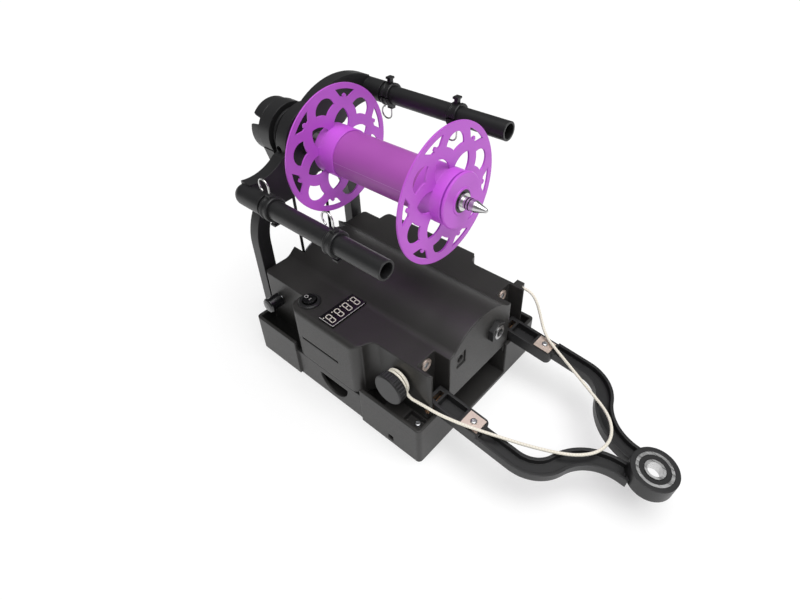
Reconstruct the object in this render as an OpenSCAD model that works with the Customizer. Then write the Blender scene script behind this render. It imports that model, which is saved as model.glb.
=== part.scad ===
// Electric spinning wheel: a motor base with a horseshoe arch, a flyer with a bobbin and a fold-down yoke.
// Millimetres. X runs along the flyer axis from the orifice to the yoke, Z is up, and the origin is the middle
// of the underside of the base. The controls are on the -Y side.

/* [Base] */
// Length of the base along the flyer axis
base_len = 165; // [158:1:180]
// Width of the base
base_w = 134; // [130:1:142]
// Height of the tray rim
tray_h = 32; // [30:0.5:34]
// Thickness of the moulded walls
wall = 2.4; // [2:0.1:2.8]
// Thickness of the tray floor
floor_t = 3; // [2:0.5:4]
// Radius of the upright corners of the tray
corner_r = 3; // [1:0.5:5]
// Height of the joint between tray and cover
joint_z = 24; // [21:0.5:27]
// Width of the corner wells, from the side of the base to the cover
well_w = 14.5; // [13:0.5:16]
// How far the side panels lie behind the corners of the tray
panel_set = 1.5; // [0.5:0.25:2.5]
// Orifice end of the control bay
near_bay_x0 = -37; // [-42:1:-37]
// Orifice end of the bay on the other side
far_bay_x0 = -62; // [-66:1:-50]
// Yoke end of both side bays
bay_x1 = 30; // [26:1:34]
// Radius of the upright corners of the side bays
bay_r = 8; // [4:0.5:9]
// Width of the open bay in the yoke end of the tray
store_w = 60; // [50:1:61]
// Height of the top of that bay
store_top = 30.5; // [28:0.5:31]
// Radius of the half-round finger opening
finger_r = 14; // [11:0.5:15]
// Middle of the finger opening along the base
finger_x = 1.5; // [-4:0.5:4]

/* [Cover] */
// Height of the flat shelf of the cover
shelf_z = 69; // [68:0.5:74]
// Rise of the round hump above the shelf
hump_h = 12.5; // [10:0.5:15]
// Width of the hump at its foot
hump_w = 60; // [54:1:62]
// Radius of the hollow between hump and shelf
hump_fillet = 9; // [4:0.5:12]
// Radius of the long edges of the side bays
edge_r = 4; // [2:0.5:5]
// Width of the belt notch
notch_w = 46; // [42:1:48]
// Depth of the belt notch
notch_d = 12; // [10:0.5:14]
// Length of the thin slit in the control bay
slit_len = 37; // [28:1:40]
// Height of that slit
slit_h = 1.6; // [1:0.2:2.4]

/* [Flyer] */
// Height of the flyer axis
axis_z = 159.5; // [156:0.5:164]
// Distance of the arm tubes from the flyer axis
arm_offset = 59.6; // [57:0.2:63]
// Lean of the line through both arm tubes
arm_lean = 19; // [10:1:26]
// Outer diameter of the arm tubes
arm_od = 12.6; // [11:0.2:13.6]
// Wall of the arm tubes
arm_wall = 1.4; // [1:0.1:2]
// Distance from the shaft tip back to the arm ends
arm_back = 25; // [20:1:28]
// Thickness of the bow along the axis
bow_t = 10; // [8:0.5:11]
// Radius of the disc in the middle of the bow
bow_hub_r = 25; // [22:0.5:27]
// Radius of the arm sockets
socket_r = 7.6; // [7.2:0.1:8.6]
// Length of the arm sockets beyond the bow
socket_len = 15; // [12:1:20]
// Diameter of the steel shaft
shaft_d = 8; // [7:0.5:9]
// Length of the conical tip
tip_len = 8; // [5:0.5:9]
// Outer radius of the orifice crown
crown_r = 19.5; // [17:0.5:20]
// Length of the orifice crown
crown_len = 10.5; // [8:0.5:13]
// Radius of the orifice
orifice_r = 6; // [5:0.5:7]
// Radius of the bearing housing on the arch
collar_r = 20.5; // [19.5:0.5:22]
// Outer radius of the horseshoe arch
arch_r = 51; // [49:0.5:54]
// Width of the arch limbs
arch_w = 10.5; // [8:0.5:12]
// Thickness of the arch along the axis
arch_t = 9; // [7:0.5:10]
// Belt line radius on the whorl
whorl_r = 15.6; // [14.6:0.1:16]
// Belt line radius on the motor pulley
pulley_r = 14.6; // [12:0.1:15.4]
// Diameter of the round belt
belt_d = 2.2; // [1.8:0.1:2.4]

/* [Bobbin] */
// Radius of the flanges
flange_r = 43.5; // [41:0.5:46]
// Thickness of the flanges
flange_t = 1.6; // [1.4:0.1:3]
// Outer radius of the core tube
core_r = 15.8; // [14:0.2:16.6]
// Radius of the collars on the core
collar_core_r = 17.6; // [17.2:0.2:18.2]
// Length of those collars
collar_core_len = 12; // [8:1:16]
// Petals round each flange
petals = 6; // [5:1:7]

/* [Yoke] */
// Distance of the arm roots from the middle
slot_y = 42; // [41:0.5:42.5]
// Width of the slots that take the arm roots
slot_w = 16.6; // [16:0.2:17]
// Width of the arm roots
root_w = 14; // [12:0.5:14.6]
// Length of the arm roots from the pin
root_len = 36; // [34:0.5:40]
// Angle of the resting yoke below the horizontal
droop = 6; // [4:0.5:7]
// Height of the arm rims above the pin
rim_v = 6.5; // [6:0.25:7]
// Width of the curved arms
arm_w = 11.5; // [10:0.5:12.5]
// Wall of the curved arms and troughs
rib = 2; // [1.6:0.1:2.6]
// Turn of each of the two bends of an arm, in degrees
bend = 71; // [64:1:76]
// Half width of the neck before the housing
neck_y = 13; // [12:0.5:14]
// Wall round the yoke bearing
housing_wall = 3; // [2:0.25:4]
// Height of the bearing's face above the pin
bearing_v = 14; // [13.5:0.1:14.2]
// Outer diameter of the yoke bearing
bearing_od = 22; // [20:1:24]
// Bore of the yoke bearing
bearing_id = 9; // [8.8:0.1:10]
// Width of the yoke bearing
bearing_w = 7; // [6:0.5:7]
// Diameter of the hinge pins
pin_d = 3; // [2:0.2:3.2]

/* [Controls] */
// Diameter of the brake knob
brake_d = 22; // [16:0.5:22]
// Length of the brake knob
brake_len = 6.8; // [6:0.1:6.8]
// Diameter of the speed knob
speed_d = 12; // [10:0.5:14]
// Length of the speed knob
speed_len = 12; // [9:0.5:13]
// Length of the display
display_len = 31; // [28:0.5:32]
// Width of the display
display_w = 14; // [12:0.5:15]
// Diameter of the rocker switch bezel
rocker_d = 16; // [14:0.5:18]
// Diameter of the brake cord
cord_d = 2; // [1.6:0.1:2.2]
// Width of the pedal jack nut across its flats
jack_af = 14; // [12:0.5:16]
// Radius of the pedal jack's bore
jack_r = 3.2; // [2.6:0.1:3.4]

/* [Hidden] */
$fn = 64;
// Gap between moulded pieces that seat in each other
fit = 0.1;
// Radial running clearance of shafts and pins
run = 0.05;
// Gap between pieces that move past each other
clear = 0.3;
// How far a fillet dips into the faces that it joins
bite = 0.03;

end_x = base_len / 2;
half_w = base_w / 2;
cover_x = end_x - wall - fit;
cover_y = half_w - well_w;
bay_y = half_w - panel_set;
shelf_t = 2;
store_rib = 2;

// Hinge of the yoke and what the raised yoke reaches
pivot_x = end_x - 5.5;
pivot_z = tray_h + 3;
yoke_len = axis_z - pivot_z;
rest_gap = 0.2;
root_low = (pivot_z - tray_h - rest_gap - (end_x - pivot_x) * sin(droop)) / cos(droop);
root_back = 4;
plate_t = 1.2;
plate_proud = 0.3;
plate_l = 12;
plate_u = 28;
head_h = 1.3;
head_r = 2.2;
magnet_r = 4.5;
magnet_face_x = pivot_x - rim_v - plate_proud - head_h - clear;
slot_back_x = magnet_face_x - 1;
slot_depth = cover_x - slot_back_x;

// Arms of the yoke: two equal bends between the shoulder and the neck
arm_y = slot_y + 8.5;
bend_r = (arm_y - neck_y) / (2 * (1 - cos(bend)));
neck_u = yoke_len - 12.5;
shoulder_u = neck_u - 2 * bend_r * sin(bend);
arm_low = 0.5;
arm_floor = 2;
housing_r = bearing_od / 2 + housing_wall;
housing_low = 3;
bearing_low = bearing_v - bearing_w;

// Places along the flyer axis, from the yoke end
seat_x = pivot_x - bearing_v + bearing_w / 2;
shoulder_x = seat_x - bearing_w / 2 - 2 * clear;
seat_r = bearing_id / 2 - 0.9;
tip_x = seat_x + bearing_w / 2 + tip_len;
thrust_len = 1;
bobbin_x1 = shoulder_x - thrust_len - clear;
shaft_r = shaft_d / 2;
bush_r = shaft_r + 3;
bush_lip = 0.6;
boss_len = 6.8;
groove_len = 1.4;
disc_len = 1.8;
boss_r = collar_core_r - 0.7;
groove_r = collar_core_r - 4;
disc_r = collar_core_r - 0.2;
front_x = bobbin_x1 - bush_lip - disc_len - groove_len - boss_len;
arm_x1 = tip_x - arm_back;

// Places along the flyer axis, from the orifice end
belt_r = belt_d / 2;
belt_x = -end_x + clear + belt_r;
bow_x0 = -end_x + 6.5;
bow_x1 = bow_x0 + bow_t;
elbow_x = belt_x + belt_r + clear + socket_r;
whorl_x0 = -end_x - 6.5;
collar_x1 = whorl_x0 - 0.6;
collar_x0 = collar_x1 - 11;
crown_x1 = collar_x0 - 0.6;
crown_x0 = crown_x1 - crown_len;
crown_turn = 61;
quill_r = 10;
arch_bearing_r = 16;
arch_bearing_w = 7;
arch_bearing_x0 = (collar_x0 + collar_x1 - arch_bearing_w) / 2;
spacer_len = 12;
bobbin_x0 = bow_x1 + spacer_len + clear;
rear_boss = 10.2;
rear_x = bobbin_x0 + rear_boss;
front_turn = 49;
rear_turn = 13.6;
petal_share = 6 / petals;

// Horseshoe arch
arch_in = arch_r - arch_w;
arch_z = axis_z - collar_r - arch_r + 0.5;
arch_x0 = -end_x - arch_t;
arch_foot = 5;

// Motor under the flyer
motor_z = 50;
motor_r = 18;
motor_len = 52;
motor_boss_r = 6;
motor_shaft_r = 1.6;
bracket_t = 3;
bracket_x0 = -cover_x + notch_d + wall + fit;
motor_x0 = bracket_x0 + bracket_t;
pulley_half = 3.6;

// Arm tubes and clips
arm_r = arm_od / 2;
clip_w = 7;
clip_wall = 2;
clip_a_x = bow_x1 + socket_len + clip_w / 2 + 2;
clip_b_x = arm_x1 - 40;
wire_r = 0.6;
hook_r = 4.6;
hook_stem = 7;

// Knobs
brake_x = end_x - 27;
brake_z = 50.5;
brake_y = -bay_y;
spool_r = 7.2;
wind_r = spool_r + cord_d / 2 + 0.1;
wind_pitch = cord_d + 0.45;
wind_lead = 32;
wind_loops = 1.5 + wind_lead / 360;
spool_len = well_w - panel_set - brake_len - 2 * clear;
speed_x = -end_x + 16;
speed_z = 49.5;
speed_y = -bay_y;
knob_shaft_r = 3;

// Display, switch and sockets
display_x = near_bay_x0 + 34;
display_y = -bay_y + edge_r + 0.5 + display_len / 2;
display_up = 1.2;
display_body = 8;
board_t = 1.6;
board_z = shelf_z + display_up - display_body - board_t;
rocker_x = near_bay_x0 + wall + rocker_d / 2 - 1.2;
rocker_y = -bay_y + edge_r + rocker_d / 2;
rocker_r = rocker_d / 2;
paddle_z = shelf_z + 1;
rocker_axis_z = shelf_z - 1;
trunnion_r = 0.8;
jack_y = 15;
jack_z = 58;
inlet_y = -22;
inlet_z = 60;
inlet_w = 9;
inlet_h = 11;

// Route of the brake cord, from the brake spool over the yoke to its anchor on the cover, drawn for a cover of the
// given half width and base of the given half length
route_cover_y = 52.5;
route_end_x = 82.5;
drawn_route = [
    [64, -57.5, 51.1], [65.2, -57.4, 47.4], [67.6, -56.8, 44.8], [71, -55.7, 43.2], [75, -54.7, 42.2],
    [79, -54, 41.6], [84, -53.4, 41.4],
    [89, -52.6, 41.3], [94, -51.5, 41.2], [99, -50.2, 41], [104, -48.7, 40.8], [109, -46.9, 40.4],
    [115, -44.5, 39.7], [121, -42, 39], [127, -39.4, 38.3], [133, -36.8, 37.6], [139, -34, 36.9],
    [145, -31, 36.2], [151, -27.8, 35.6], [157, -24.2, 35], [163, -19.8, 34.4], [168, -14.6, 33.9],
    [171.6, -9, 33.6], [173.4, -3, 33.4], [173.6, 3, 33.4], [172, 9, 33.6], [168.6, 14.6, 33.9],
    [164, 19, 34.3], [158.6, 22.4, 34.8], [153, 25, 35.4], [147, 27.6, 36.1], [141, 30.2, 36.8],
    [135, 32.8, 37.5], [129, 35.4, 38.2], [123, 38, 38.9], [117, 40.6, 39.6], [111, 43.2, 40.4],
    [105, 46, 41.8], [99.6, 49, 45.2], [95.4, 51.6, 50.2], [92, 53.2, 55.6], [88.6, 54.2, 60.8],
    [84.8, 54.7, 64.6], [80.4, 54.9, 66.2], [76, 54.9, 66.4]
];
function spread_y(y) = y + sign(y) * (cover_y - route_cover_y) * min(1, abs(y) / slot_y);
cord_route = [for (p = drawn_route) [p[0] + end_x - route_end_x, spread_y(p[1]), p[2]]];
anchor_at = cord_route[len(cord_route) - 1];

// Shared shapes

// Flat rectangle with round corners
module round_rect(x0, y0, x1, y1, r) {
    translate([x0 + r, y0]) square([x1 - x0 - 2 * r, y1 - y0]);
    translate([x0, y0 + r]) square([x1 - x0, y1 - y0 - 2 * r]);
    for (x = [x0 + r, x1 - r])
        for (y = [y0 + r, y1 - r])
            translate([x, y]) circle(r = r);
}

// Box between two corners
module box(low, high) {
    translate(low) cube(high - low);
}

// Section drawn in Y and Z, extruded along X
module along_x(x0, x1) {
    translate([x0, 0, 0]) rotate([90, 0, 90]) linear_extrude(x1 - x0) children();
}

// Round rod along X at the given place
module rod_x(x0, x1, r, y = 0, z = 0) {
    translate([x0, y, z]) rotate([0, 90, 0]) cylinder(h = x1 - x0, r = r);
}

// Round rod along Y
module rod_y(y0, y1, r, x, z) {
    translate([x, y1, z]) rotate([90, 0, 0]) cylinder(h = y1 - y0, r = r);
}

// Outline of [radius, x] points turned about a line along X
module turned_x(points, y = 0, z = 0) {
    translate([0, y, z]) rotate([0, 90, 0]) rotate_extrude() polygon(points);
}

// Ring along X
module ring_x(x0, x1, r_in, r_out, y = 0, z = 0) {
    turned_x([[r_in, x0], [r_out, x0], [r_out, x1], [r_in, x1]], y, z);
}

// Low round screw head on a short shank, pointing up from the origin
module pan_screw(r, h, shank) {
    rotate_extrude() polygon([
        [0, -shank], [r * 0.5, -shank], [r * 0.5, 0], [r, 0], [r, h * 0.45], [r * 0.75, h * 0.85], [r * 0.4, h], [0, h]
    ]);
}

// Places a child at the resting yoke: X along the arms from the pin, Z square to them
module on_yoke() {
    translate([pivot_x, 0, pivot_z]) rotate([0, droop, 0]) children();
}

// Base

// Plan of the tray with its set-back side panels
module tray_plan() {
    difference() {
        round_rect(-end_x, -half_w, end_x, half_w, corner_r);
        translate([near_bay_x0, -half_w - 1]) square([bay_x1 - near_bay_x0, 1 + panel_set]);
        translate([far_bay_x0, half_w - panel_set]) square([bay_x1 - far_bay_x0, 1 + panel_set]);
    }
}

// Hollow of one side bay in the tray
module bay_hollow(x0, side) {
    y_in = cover_y - wall - 1;
    y_out = bay_y - wall;
    y0 = side < 0 ? -y_out : y_in;
    box([x0 + wall, y0, floor_t], [bay_x1 - wall, y0 + y_out - y_in, tray_h + 1]);
}

// Lower rim where a side bay of the cover stands on the tray
module bay_rim(x0, side) {
    y0 = side < 0 ? -half_w - 1 : cover_y - 1;
    box([x0 - fit, y0, joint_z], [bay_x1 + fit, y0 + half_w - cover_y + 2, tray_h + 1]);
}

// Open corner well between x0 and x1
module well(x0, x1, side) {
    y0 = side < 0 ? -half_w + wall : cover_y;
    box([x0, y0, floor_t], [x1, y0 + half_w - wall - cover_y, tray_h + 1]);
}

module base_tray() {
    block_x0 = bay_x1 + 18;
    block_x1 = end_x - 18;
    step_y = half_w - wall - 3;
    color("#2b2b2d") {
        difference() {
            linear_extrude(tray_h) tray_plan();
            box([-end_x + wall, -cover_y + wall, floor_t], [end_x - wall, cover_y - wall, tray_h + 1]);
            box([-end_x + wall, -cover_y - fit, joint_z], [end_x - wall, cover_y + fit, tray_h + 1]);
            bay_hollow(near_bay_x0, -1);
            bay_hollow(far_bay_x0, 1);
            bay_rim(near_bay_x0, -1);
            bay_rim(far_bay_x0, 1);
            well(-end_x + wall, near_bay_x0 - fit, -1);
            well(bay_x1 + fit, end_x - wall, -1);
            well(-end_x + wall, far_bay_x0 - fit, 1);
            well(bay_x1 + fit, end_x - wall, 1);
            box([end_x - wall - 1, -store_w / 2, floor_t], [end_x + 1, store_w / 2, tray_h + 1]);
            intersection() {
                rod_y(-half_w - 1, -bay_y + wall + 1, finger_r, finger_x, floor_t + finger_r + 1.5);
                box([finger_x - 20, -half_w - 1, 0], [finger_x + 20, -cover_y, floor_t + finger_r + 1.5]);
            }
            box([end_x - 27.5, -half_w - 1, floor_t], [end_x - 23, -half_w + wall + 1, floor_t + 4.5]);
            for (x = [-1, 1])
                for (y = [-1, 1])
                    translate([x * (end_x - 12), y * (half_w - 12), -1]) cylinder(h = 1 + 1.5, r = 6 + fit);
            for (y = [-1, 1])
                for (z = [joint_z - 12, joint_z - 2])
                    rod_x(-end_x - 1, -end_x + wall + 1, 1.3, y * (arch_r - arch_w / 2), z);
        }
        for (side = [-1, 1]) {
            rib_y = side * (store_w + store_rib) / 2 - store_rib / 2;
            box([-end_x + 12, rib_y, floor_t],
                [slot_back_x - wall - fit, rib_y + store_rib, store_top - shelf_t]);
            box([slot_back_x - wall - 1, rib_y, floor_t], [end_x - wall, rib_y + store_rib, joint_z - fit]);
        }
        difference() {
            box([block_x0, -half_w + wall, floor_t], [end_x - wall, -cover_y, tray_h - 5]);
            box([block_x1, -step_y, tray_h - 10], [end_x - wall - 1, -cover_y - 1, tray_h]);
            translate([end_x - 10, -cover_y - 4, tray_h - 20]) cylinder(h = 20, r = 1.2);
        }
    }
}

// Plan of the cover, drawn in by g
module cover_plan(g) {
    difference() {
        union() {
            round_rect(-cover_x + g, -cover_y + g, cover_x - g, cover_y - g, corner_r);
            round_rect(near_bay_x0 + g, -bay_y + g, bay_x1 - g, 0, bay_r);
            round_rect(far_bay_x0 + g, 0, bay_x1 - g, bay_y - g, bay_r);
            if (g == 0)
                for (side = [-1, 1])
                    difference() {
                        translate([bay_x1 - 1, side > 0 ? cover_y - 1 : -cover_y - bay_r]) square(bay_r + 1);
                        translate([bay_x1 + bay_r, side * (cover_y + bay_r)]) circle(r = bay_r + bite);
                    }
        }
        for (side = [-1, 1])
            translate([slot_back_x - g, side * slot_y - slot_w / 2 - g])
                square([slot_depth + 2 * g + 1, slot_w + 2 * g]);
        translate([-cover_x - 1 - g, -notch_w / 2 - g]) square([notch_d + 1 + 2 * g, notch_w + 2 * g]);
    }
}

// Section of the cover across the hump, drawn in by g
module cover_section(g) {
    hump_r = (hump_w * hump_w / 4 + hump_h * hump_h) / (2 * hump_h);
    hump_z = shelf_z + hump_h - hump_r;
    fillet_z = shelf_z + hump_fillet;
    fillet_y = sqrt(pow(hump_r + hump_fillet, 2) - pow(fillet_z - hump_z, 2));
    share = hump_r / (hump_r + hump_fillet);
    touch = [fillet_y * share, hump_z + (fillet_z - hump_z) * share];
    round_rect(-bay_y + g, 0, bay_y - g, shelf_z - g, edge_r);
    intersection() {
        translate([0, hump_z]) circle(r = hump_r - g);
        translate([-hump_w, shelf_z - g - 1]) square([2 * hump_w, 2 * hump_h]);
    }
    if (g == 0)
        for (half = [0, 1])
            mirror([half, 0]) difference() {
                polygon([
                    [0, shelf_z - 1], [fillet_y, shelf_z - 1], [fillet_y, shelf_z], touch, [0, touch[1]]
                ]);
                translate([fillet_y, fillet_z]) circle(r = hump_fillet + bite);
            }
}

// Body of the cover, drawn in by g
module cover_body(g) {
    intersection() {
        translate([0, 0, joint_z - g]) linear_extrude(shelf_z + hump_h) cover_plan(g);
        along_x(-cover_x - 1, cover_x + 1) cover_section(g);
    }
}

// Holes for what the cover carries
module cover_holes() {
    box([cover_x - wall - 1, -store_w / 2, 0], [cover_x + 1, store_w / 2, store_top]);
    box([near_bay_x0 + 10, -bay_y - 1, joint_z + 19], [near_bay_x0 + 10 + slit_len, -bay_y + wall + 1,
        joint_z + 19 + slit_h]);
    box([display_x - display_w / 2 - fit, display_y - display_len / 2 - fit, shelf_z - wall - 1],
        [display_x + display_w / 2 + fit, display_y + display_len / 2 + fit, shelf_z + 1]);
    translate([rocker_x, rocker_y, shelf_z - wall - 1]) cylinder(h = wall + 2, r = rocker_r - 1.5 + fit);
    rod_y(-cover_y - 1, -cover_y + wall + 1, knob_shaft_r + 0.5 + fit, speed_x, speed_z);
    rod_y(-cover_y - 1, -cover_y + wall + 1, 2 + fit, brake_x, brake_z);
    rod_x(cover_x - wall - 1, cover_x + 1, jack_af * 0.36 + fit, jack_y, jack_z);
    box([cover_x - wall - 1, inlet_y - inlet_w / 2 - fit, inlet_z - inlet_h / 2 - fit],
        [cover_x + 1, inlet_y + inlet_w / 2 + fit, inlet_z + inlet_h / 2 + fit]);
    rod_x(-cover_x + notch_d - 1, -cover_x + notch_d + wall + 1, motor_boss_r + 1, 0, motor_z);
    for (side = [-1, 1]) {
        rod_y(side * slot_y - slot_w / 2 - wall - 1, side * slot_y + slot_w / 2 + wall + 1, pin_d / 2 + run,
            pivot_x, pivot_z);
        rod_x(slot_back_x - wall - 1, slot_back_x + 1, magnet_r + run, side * slot_y, pivot_z + plate_u);
    }
}

module top_cover() {
    color("#2f2f31") difference() {
        cover_body(0);
        cover_body(wall);
        cover_holes();
    }
}

module inner_shelf() {
    color("#2b2b2d") box([bracket_x0, -cover_y + wall + 1, store_top - shelf_t],
        [slot_back_x - wall - 1, cover_y - wall - 1, store_top]);
}

module foot_pads() {
    color("#1a1a1a") for (x = [-1, 1])
        for (y = [-1, 1])
            translate([x * (end_x - 12), y * (half_w - 12), 0]) cylinder(h = 1.5, r = 6);
}

module cover_screws() {
    color("silver") translate([end_x - 10, -cover_y - 4, tray_h - 10]) pan_screw(2.4, 1.6, 8);
}

// Arch

// Outline of the horseshoe, in Y and Z
module arch_outline() {
    difference() {
        union() {
            translate([0, arch_z]) circle(r = arch_r);
            translate([-arch_r, arch_foot]) square([2 * arch_r, arch_z - arch_foot]);
        }
        translate([0, arch_z]) circle(r = arch_in);
        translate([-arch_in, arch_foot - 1]) square([2 * arch_in, arch_z - arch_foot + 1]);
    }
}

module flyer_arch() {
    neck_low = arch_z + arch_in + 2;
    color("#2b2b2d") difference() {
        union() {
            along_x(arch_x0, -end_x) arch_outline();
            rod_x(collar_x0, collar_x1, collar_r, 0, axis_z);
            along_x(collar_x0, collar_x1) polygon([
                [-14, neck_low], [14, neck_low], [collar_r - 1.5, axis_z - 9], [-collar_r + 1.5, axis_z - 9]
            ]);
            along_x(collar_x0, -end_x) intersection() {
                polygon([[-14, neck_low], [14, neck_low], [17, neck_low + 9], [-17, neck_low + 9]]);
                translate([0, arch_z]) circle(r = arch_r);
            }
        }
        rod_x(collar_x0 - 1, arch_bearing_x0, arch_bearing_r - 2, 0, axis_z);
        rod_x(arch_bearing_x0, collar_x1 + 1, arch_bearing_r + run, 0, axis_z);
        along_x(arch_x0 - 1, arch_x0 + arch_t - 3.5) arch_groove();
        for (y = [-1, 1])
            for (z = [joint_z - 12, joint_z - 2])
                rod_x(arch_x0 - 1, -end_x + 1, 1.6, y * (arch_r - arch_w / 2), z);
    }
}

// Hollow along the outer face of the arch limbs, which leaves a rib at each edge
module arch_groove() {
    intersection() {
        difference() {
            union() {
                translate([0, arch_z]) circle(r = arch_r - rib);
                translate([-arch_r + rib, joint_z + 6]) square([2 * (arch_r - rib), arch_z - joint_z - 6]);
            }
            translate([0, arch_z]) circle(r = arch_in + rib);
            translate([-arch_in - rib, 0]) square([2 * (arch_in + rib), arch_z]);
        }
        translate([-arch_r, joint_z + 6]) square([2 * arch_r, arch_z + arch_in * 0.75 - joint_z - 6]);
    }
}

module arch_screws() {
    color("silver") for (y = [-1, 1])
        for (z = [joint_z - 12, joint_z - 2])
            translate([arch_x0, y * (arch_r - arch_w / 2), z]) rotate([0, -90, 0]) pan_screw(2.5, 1.6, arch_t + wall);
}

module arch_bearing_outer() {
    color("silver") ring_x(arch_bearing_x0, arch_bearing_x0 + arch_bearing_w, arch_bearing_r - 2, arch_bearing_r,
        0, axis_z);
}

module arch_bearing_inner() {
    color("silver") ring_x(arch_bearing_x0, arch_bearing_x0 + arch_bearing_w, quill_r, quill_r + 1.8, 0, axis_z);
}

module arch_bearing_seals() {
    color("#1a1a1a") for (x = [arch_bearing_x0 + 0.4, arch_bearing_x0 + arch_bearing_w - 1.2])
        ring_x(x, x + 0.8, quill_r + 1.8 + clear, arch_bearing_r - 2, 0, axis_z);
}

// Drive

module motor() {
    color("#8a8c90") turned_x([
        [0, belt_x - pulley_half], [motor_shaft_r, belt_x - pulley_half], [motor_shaft_r, motor_x0 - 4],
        [motor_boss_r, motor_x0 - 4], [motor_boss_r, motor_x0], [motor_r - 1.5, motor_x0],
        [motor_r, motor_x0 + 1.5], [motor_r, motor_x0 + motor_len - 1.5], [motor_r - 1.5, motor_x0 + motor_len],
        [5, motor_x0 + motor_len], [5, motor_x0 + motor_len + 3], [0, motor_x0 + motor_len + 3]
    ], 0, motor_z);
}

module motor_bracket() {
    foot = 14;
    color("#55585c") difference() {
        union() {
            box([bracket_x0, -motor_r - 3, store_top], [motor_x0, motor_r + 3, motor_z + motor_r - 2]);
            box([bracket_x0, -motor_r - 3 - foot, store_top], [motor_x0 + 12, -motor_r - 1, store_top + 3]);
            box([bracket_x0, motor_r + 1, store_top], [motor_x0 + 12, motor_r + 3 + foot, store_top + 3]);
        }
        rod_x(bracket_x0 - 1, motor_x0 + 1, motor_boss_r + fit, 0, motor_z);
        for (y = [-1, 1]) {
            rod_x(bracket_x0 - 1, motor_x0 + 1, 1.6, y * 12.5, motor_z);
            translate([bracket_x0 + 8, y * (motor_r + 10), store_top - 1]) cylinder(h = 6, r = 1.4);
        }
    }
}

module motor_screws() {
    color("silver") for (y = [-1, 1]) {
        translate([bracket_x0 + 8, y * (motor_r + 10), store_top + 3]) pan_screw(2.6, 1.8, 2.9);
        rod_x(bracket_x0, motor_x0, 1.5, y * 12.5, motor_z);
    }
}

// Half groove for the belt with rims of radius r, for a belt line of radius line
function belt_groove(x, line, r) = [
    [r, x - belt_r - 1.2], [line + 0.4, x - belt_r - clear], [line - belt_r - clear, x - belt_r * 0.7],
    [line - belt_r - clear, x + belt_r * 0.7], [line + 0.4, x + belt_r + clear], [r, x + belt_r + 1.2]
];

module motor_pulley() {
    rim = pulley_r + belt_r + 1;
    x0 = belt_x - pulley_half;
    x1 = belt_x + pulley_half;
    color("#c9cbcf") turned_x(concat(
        [[motor_shaft_r + run, x0], [rim - 3, x0], [rim, x0 + 0.8]],
        belt_groove(belt_x, pulley_r, rim),
        [[rim, x1 - 0.8], [rim - 3, x1], [6, x1], [6, x1 + 2], [motor_shaft_r + run, x1 + 2]]
    ), 0, motor_z);
}

module whorl() {
    rim = whorl_r + belt_r + 1;
    color("#202022") turned_x(concat(
        [[quill_r + fit, whorl_x0], [rim - 1, whorl_x0], [rim, whorl_x0 + 0.8], [rim, whorl_x0 + 2.4],
            [rim - 2.4, whorl_x0 + 3.2], [rim - 2.4, whorl_x0 + 4.2]],
        belt_groove(belt_x, whorl_r, rim - 0.6),
        [[rim - 0.6, bow_x0], [quill_r + fit, bow_x0]]
    ), 0, axis_z);
}

// Route of the belt along the common tangents of both pulleys, closed on itself
belt_lean = asin((whorl_r - pulley_r) / (axis_z - motor_z));
belt_steps = 20;
function belt_arc(z, r, a0, a1) = [for (i = [0 : belt_steps]) let (a = a0 + (a1 - a0) * i / belt_steps)
    [belt_x, r * cos(a), z + r * sin(a)]];
belt_route = concat(
    belt_arc(axis_z, whorl_r, -belt_lean, 180 + belt_lean),
    belt_arc(motor_z, pulley_r, 180 + belt_lean, 360 - belt_lean)
);

// Round belt as a closed tube
module drive_belt() {
    sides = 12;
    count = len(belt_route);
    points = [for (i = [0 : count - 1])
        let (d = unit(belt_route[(i + 1) % count] - belt_route[(i + count - 1) % count]))
        each ring_points(belt_route[i], d, [1, 0, 0], belt_r, sides)];
    faces = [for (i = [0 : count - 1]) for (k = [0 : sides - 1])
        let (a = i * sides, b = ((i + 1) % count) * sides, m = (k + 1) % sides)
        each [[a + k, b + k, a + m], [a + m, b + k, b + m]]];
    color("#161616") polyhedron(points, faces, convexity = 4);
}

// Electronics

module control_board() {
    x0 = rocker_x + rocker_r + 1;
    x1 = bay_x1 - wall - 6;
    y0 = -cover_y - 4;
    y1 = display_y + display_len / 2 + 4;
    color("#1f5c3a") {
        box([x0, y0, board_z], [x1, y1, board_z + board_t]);
        for (x = [x0 + 4, x1 - 4])
            for (y = [-cover_y + wall + 6, y1 - 3])
                translate([x, y, store_top]) cylinder(h = board_z - store_top, r = 2.5);
        box([x1 - 14, y1 - 16, board_z - 6], [x1 - 6, y1 - 8, board_z]);
    }
}

module display() {
    color("#101012") box(
        [display_x - display_w / 2, display_y - display_len / 2, board_z + board_t],
        [display_x + display_w / 2, display_y + display_len / 2, shelf_z + display_up]
    );
}

module rocker_bezel() {
    drop = 14;
    color("#18181a") translate([rocker_x, rocker_y, 0]) difference() {
        rotate_extrude() polygon([
            [0, shelf_z - drop], [rocker_r - 1.5, shelf_z - drop], [rocker_r - 1.5, shelf_z], [rocker_r, shelf_z],
            [rocker_r, shelf_z + 0.8], [rocker_r - 0.8, shelf_z + 1.6], [0, shelf_z + 1.6]
        ]);
        translate([0, 0, paddle_z - 5.5]) cylinder(h = 10, r = rocker_r - 2.6);
        rod_y(-rocker_r, rocker_r, trunnion_r + run, 0, rocker_axis_z);
    }
}

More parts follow.
